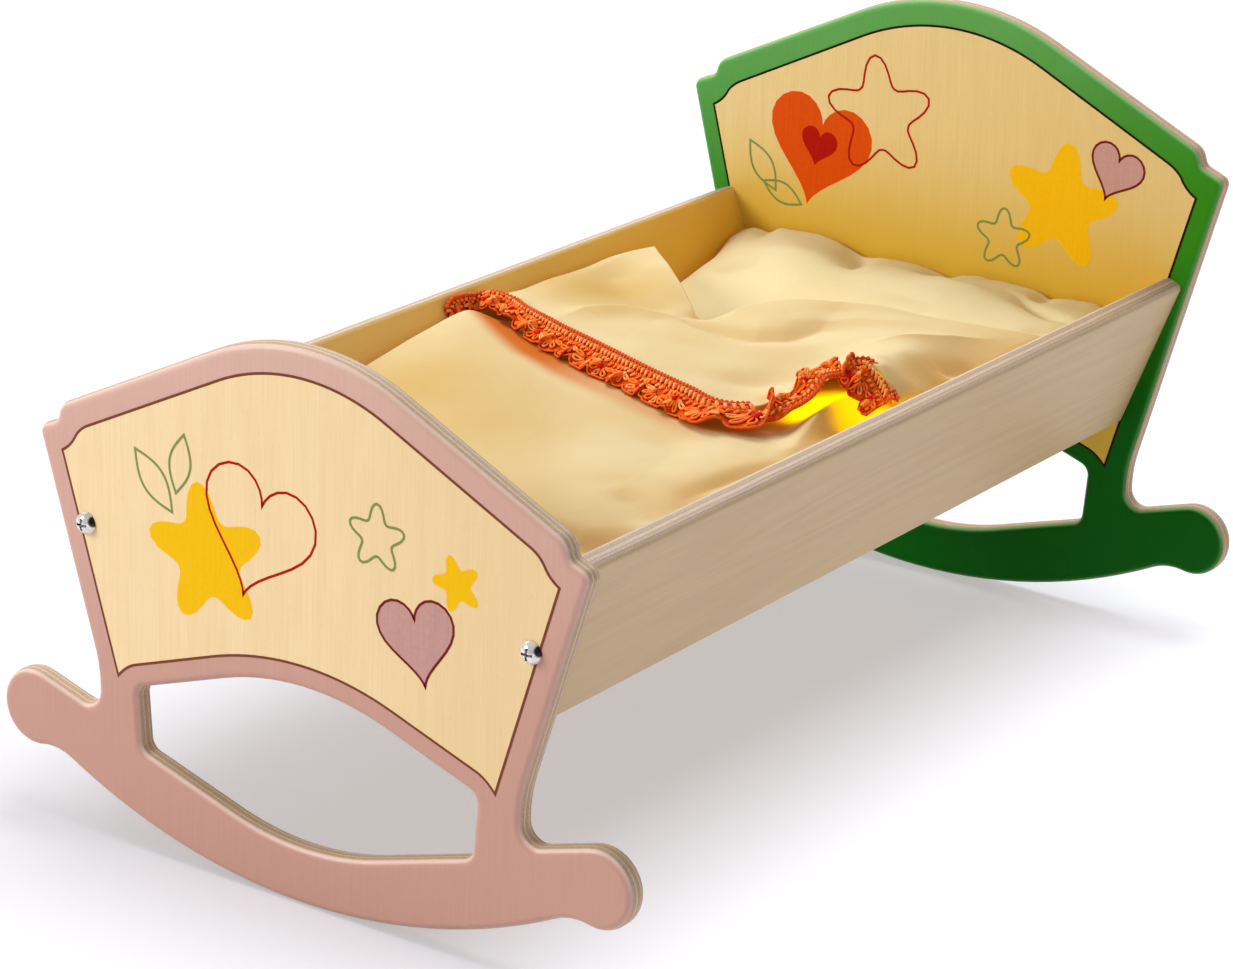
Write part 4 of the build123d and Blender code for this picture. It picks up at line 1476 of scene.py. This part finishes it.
def lace_threads():
    """The lace's orange threads, its pale ones coloured as painted highlights, its corded edges and the knots
    of painted shade in its fans.
    """
    path = LacePath(lace_tail + free_edge[1:])
    full = path.length
    fans = round(full / fan_pitch)
    pitch = full / fans
    s = np.linspace(0.4, full - 0.4, int(full / bead_pitch * 7))
    uneven = np.random.default_rng(11)
    # The pale threads are coloured as painted highlights
    deep, pale, cords, shade_knots = [], [], [], []
    beads = 0.34 + 0.80 * np.abs(np.sin(pi * s / bead_pitch)) ** 1.2
    cords.append((path.place(s, 0.2, 1.0), beads))
    cords.append((path.place(s, 2.3, 0.6), 0.36 + 0.50 * np.abs(np.cos(pi * s / bead_pitch)) ** 1.2))
    for number in range(int(full / bar_pitch)):
        middle = (number + 0.5) * bar_pitch
        shift, size, skip = uneven.uniform(-0.3, 0.3), uneven.uniform(0.85, 1.1), uneven.uniform()
        t = np.linspace(-1, 1, 7)
        bar = path.place(middle + 0.8 * t + shift, 4.8 + 1.3 * t, 0.7 + 0.5 * (1 - t * t))
        (pale if skip < 0.86 else deep).append((bar, 0.92 * size * np.sqrt(1.06 - t * t)))
        stitch = path.place(middle + bar_pitch / 2 - 0.7 * t - shift, 8.4 + 1.1 * t, 0.6 + 0.4 * (1 - t * t))
        (deep if skip < 0.6 else pale).append((stitch, 0.8 * size * np.sqrt(1.08 - t * t)))
    for phase in (0.0, pi):
        angle = 2 * pi * s / bar_pitch + phase
        deep.append((path.place(s, 6.8 + 0.5 * np.sin(angle), 0.3 + 0.4 * np.cos(angle)), 0.36))
    for fan in range(fans):
        middle = (fan + 0.5) * pitch
        for spoke in range(fan_spokes):
            lean = radians(-fan_half_angle + 2 * fan_half_angle * spoke / (fan_spokes - 1))
            t = np.linspace(0, 1, 11)
            loop = 0.75 * np.sin(2 * pi * t)
            reach = 2.2 + 5.8 * np.sin(pi * t)
            along_s = middle + reach * sin(lean) * 0.84 + loop * cos(lean)
            across = fan_root + reach * cos(lean) - loop * sin(lean)
            threads = pale if (spoke + fan) % 3 == 1 else deep
            threads.append((path.place(along_s, across, 0.7 + 0.7 * np.sin(pi * t)), 0.58))
        # A dark knot at every second fan's root, as painted shade in its pocket
        if fan % 2 == 0:
            t = np.linspace(-1, 1, 7)
            knot = path.place(middle + 1.3 * t, fan_root + 2.6, 1.4)
            shade_knots.append((knot, 1.5 * np.sqrt(1.04 - t * t)))
    rim = np.linspace(0.5, full - 0.5, int(full * 3))
    picots = 0.7 * np.abs(np.sin(pi * rim / (pitch / 4)))
    cords.append((path.place(rim, lace_rim(rim, pitch) + picots, 0.6 + 0.4 * picots), 0.5))
    return deep, pale, cords, shade_knots, path, pitch


# The close stitches: their thickness, and steps along each millimetre of the band and across it
ground_thick = 0.7
ground_pace, ground_rows = 2.6, 19


def lace_ground(path, pitch):
    """Points and faces of the close stitches under the raised threads, as a thin ruffled band."""
    s = np.linspace(0.6, path.length - 0.6, int(path.length * ground_pace))
    shares = np.linspace(0, 1, ground_rows)
    w = shares[None, :] * (lace_rim(s, pitch)[:, None] - 0.2)
    upper = path.place(s[:, None], w, 0.25)
    lower = upper - np.array([0.0, 0.0, ground_thick])
    columns = [np.concatenate([upper[i], lower[i][::-1]]) * mm for i in range(len(s))]
    return loop_mesh(columns)


def make_lace():
    deep, pale, cords, shade_knots, path, pitch = lace_threads()
    ground = new_piece("lace_ground", *lace_ground(path, pitch), ground_thread, "loose_quilt", smooth=True)
    for name, threads, material in (
        ("lace_band", deep, crochet_thread),
        ("lace_stitches", pale, glint_thread),
        ("lace_cords", cords, cord_thread),
        ("lace_knots", shade_knots, shade_knot_thread),
    ):
        piece = new_piece(name, *gather_threads(threads), material, "loose_quilt", smooth=True)
        if name == "lace_band":
            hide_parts("lace_trim")


make_lace()


# Camera at the photograph's angle

azimuth = radians(34.508)
elevation = radians(19.700)
roll = radians(1.554)
camera_place = Vector((0.9521, -1.4171, 0.7224))
back = Vector((sin(azimuth) * cos(elevation), -cos(azimuth) * cos(elevation), sin(elevation)))
level_right = Vector((cos(azimuth), sin(azimuth), 0.0))
level_up = back.cross(level_right)
right = level_right * cos(roll) + level_up * sin(roll)
up = level_up * cos(roll) - level_right * sin(roll)
camera_data = bpy.data.cameras.new("camera")
camera_data.sensor_fit = "HORIZONTAL"
camera_data.sensor_width = 36.0
camera_data.lens = 119.19
camera_data.clip_start = 0.05
camera_data.clip_end = 50.0
camera = bpy.data.objects.new("camera", camera_data)
bpy.context.scene.collection.objects.link(camera)
turned = Matrix((right, up, back)).transposed().to_4x4()
camera.matrix_world = Matrix.Translation(camera_place) @ turned
bpy.context.scene.camera = camera


# Floor and light


floor_half = 9.0


def make_floor():
    """A plain pale floor that looks brighter to the camera and in reflections, and more so further off."""
    corners = [(x * floor_half, y * floor_half, 0) for x, y in ((-1, -1), (1, -1), (1, 1), (-1, 1))]
    mesh = bpy.data.meshes.new("floor")
    mesh.from_pydata(corners, [], [[0, 1, 2, 3]])
    material, tree, shader = new_material("floor")
    shader.inputs["Base Color"].default_value = (0.665, 0.665, 0.735, 1.0)
    shader.inputs["Roughness"].default_value = 1.0
    shader.inputs["Specular IOR Level"].default_value = 0.0
    shader.inputs["Emission Color"].default_value = (0.98, 0.99, 1.0, 1.0)
    path = tree.nodes.new("ShaderNodeLightPath")
    seen = calc(tree, "MAXIMUM", path.outputs["Is Camera Ray"], path.outputs["Is Glossy Ray"])
    seen = calc(tree, "MAXIMUM", seen, path.outputs["Is Transmission Ray"])
    coords = add_node(tree, "ShaderNodeTexCoord").outputs["Object"]
    away = add_node(tree, "ShaderNodeVectorMath", {0: coords}, operation="LENGTH").outputs["Value"]
    far = remap(tree, away, 0.7, 2.2, 0.20, 0.75)
    tree.links.new(plus(tree, times(tree, seen, far), 0.16), shader.inputs["Emission Strength"])
    mesh.materials.append(material)
    floor = bpy.data.objects.new("floor", mesh)
    bpy.context.scene.collection.objects.link(floor)
    return floor


def make_lamp(name, place, target, size, power):
    data = bpy.data.lights.new(name, "AREA")
    data.shape = "SQUARE"
    data.size = size
    data.energy = power
    lamp = bpy.data.objects.new(name, data)
    bpy.context.scene.collection.objects.link(lamp)
    lamp.location = place
    lamp.rotation_euler = (Vector(target) - Vector(place)).to_track_quat("-Z", "Y").to_euler()
    return lamp


floor = make_floor()
aim = (0.0, 0.0, 0.12)
# Lamps: place, target, size in metres, power in watts
key_light = make_lamp("key_light", (-1.45, -1.45, 1.25), aim, 0.9, 33.0)
top_light = make_lamp("top_light", (-0.6, 0.9, 1.7), aim, 0.8, 20.0)
back_light = make_lamp("back_light", (-0.6, 1.6, 1.5), aim, 1.2, 8.0)
floor_light = make_lamp("floor_light", (0.40, 0.20, 2.4), aim, 1.7, 50.0)


def share_light(lamps, receiver, state):
    """Limits what lamps light: only the receiver, or everything but it."""
    group = bpy.data.collections.new(f"{lamps[0].name}_{state.lower()}")
    group.objects.link(receiver)
    group.collection_objects[0].light_linking.link_state = state
    for lamp in lamps:
        lamp.light_linking.receiver_collection = group


# The floor has a light of its own from straight above, so its shadow stays under the cradle
share_light([key_light, top_light, back_light], floor, "EXCLUDE")
share_light([floor_light], floor, "INCLUDE")
world = bpy.data.worlds.new("studio")
bpy.context.scene.world = world
world.use_nodes = True
backdrop = next(node for node in world.node_tree.nodes if node.type == "BACKGROUND")
backdrop.inputs["Color"].default_value = (1.0, 1.0, 1.0, 1.0)
backdrop.inputs["Strength"].default_value = 0.43
bpy.context.scene.view_settings.view_transform = "Standard"
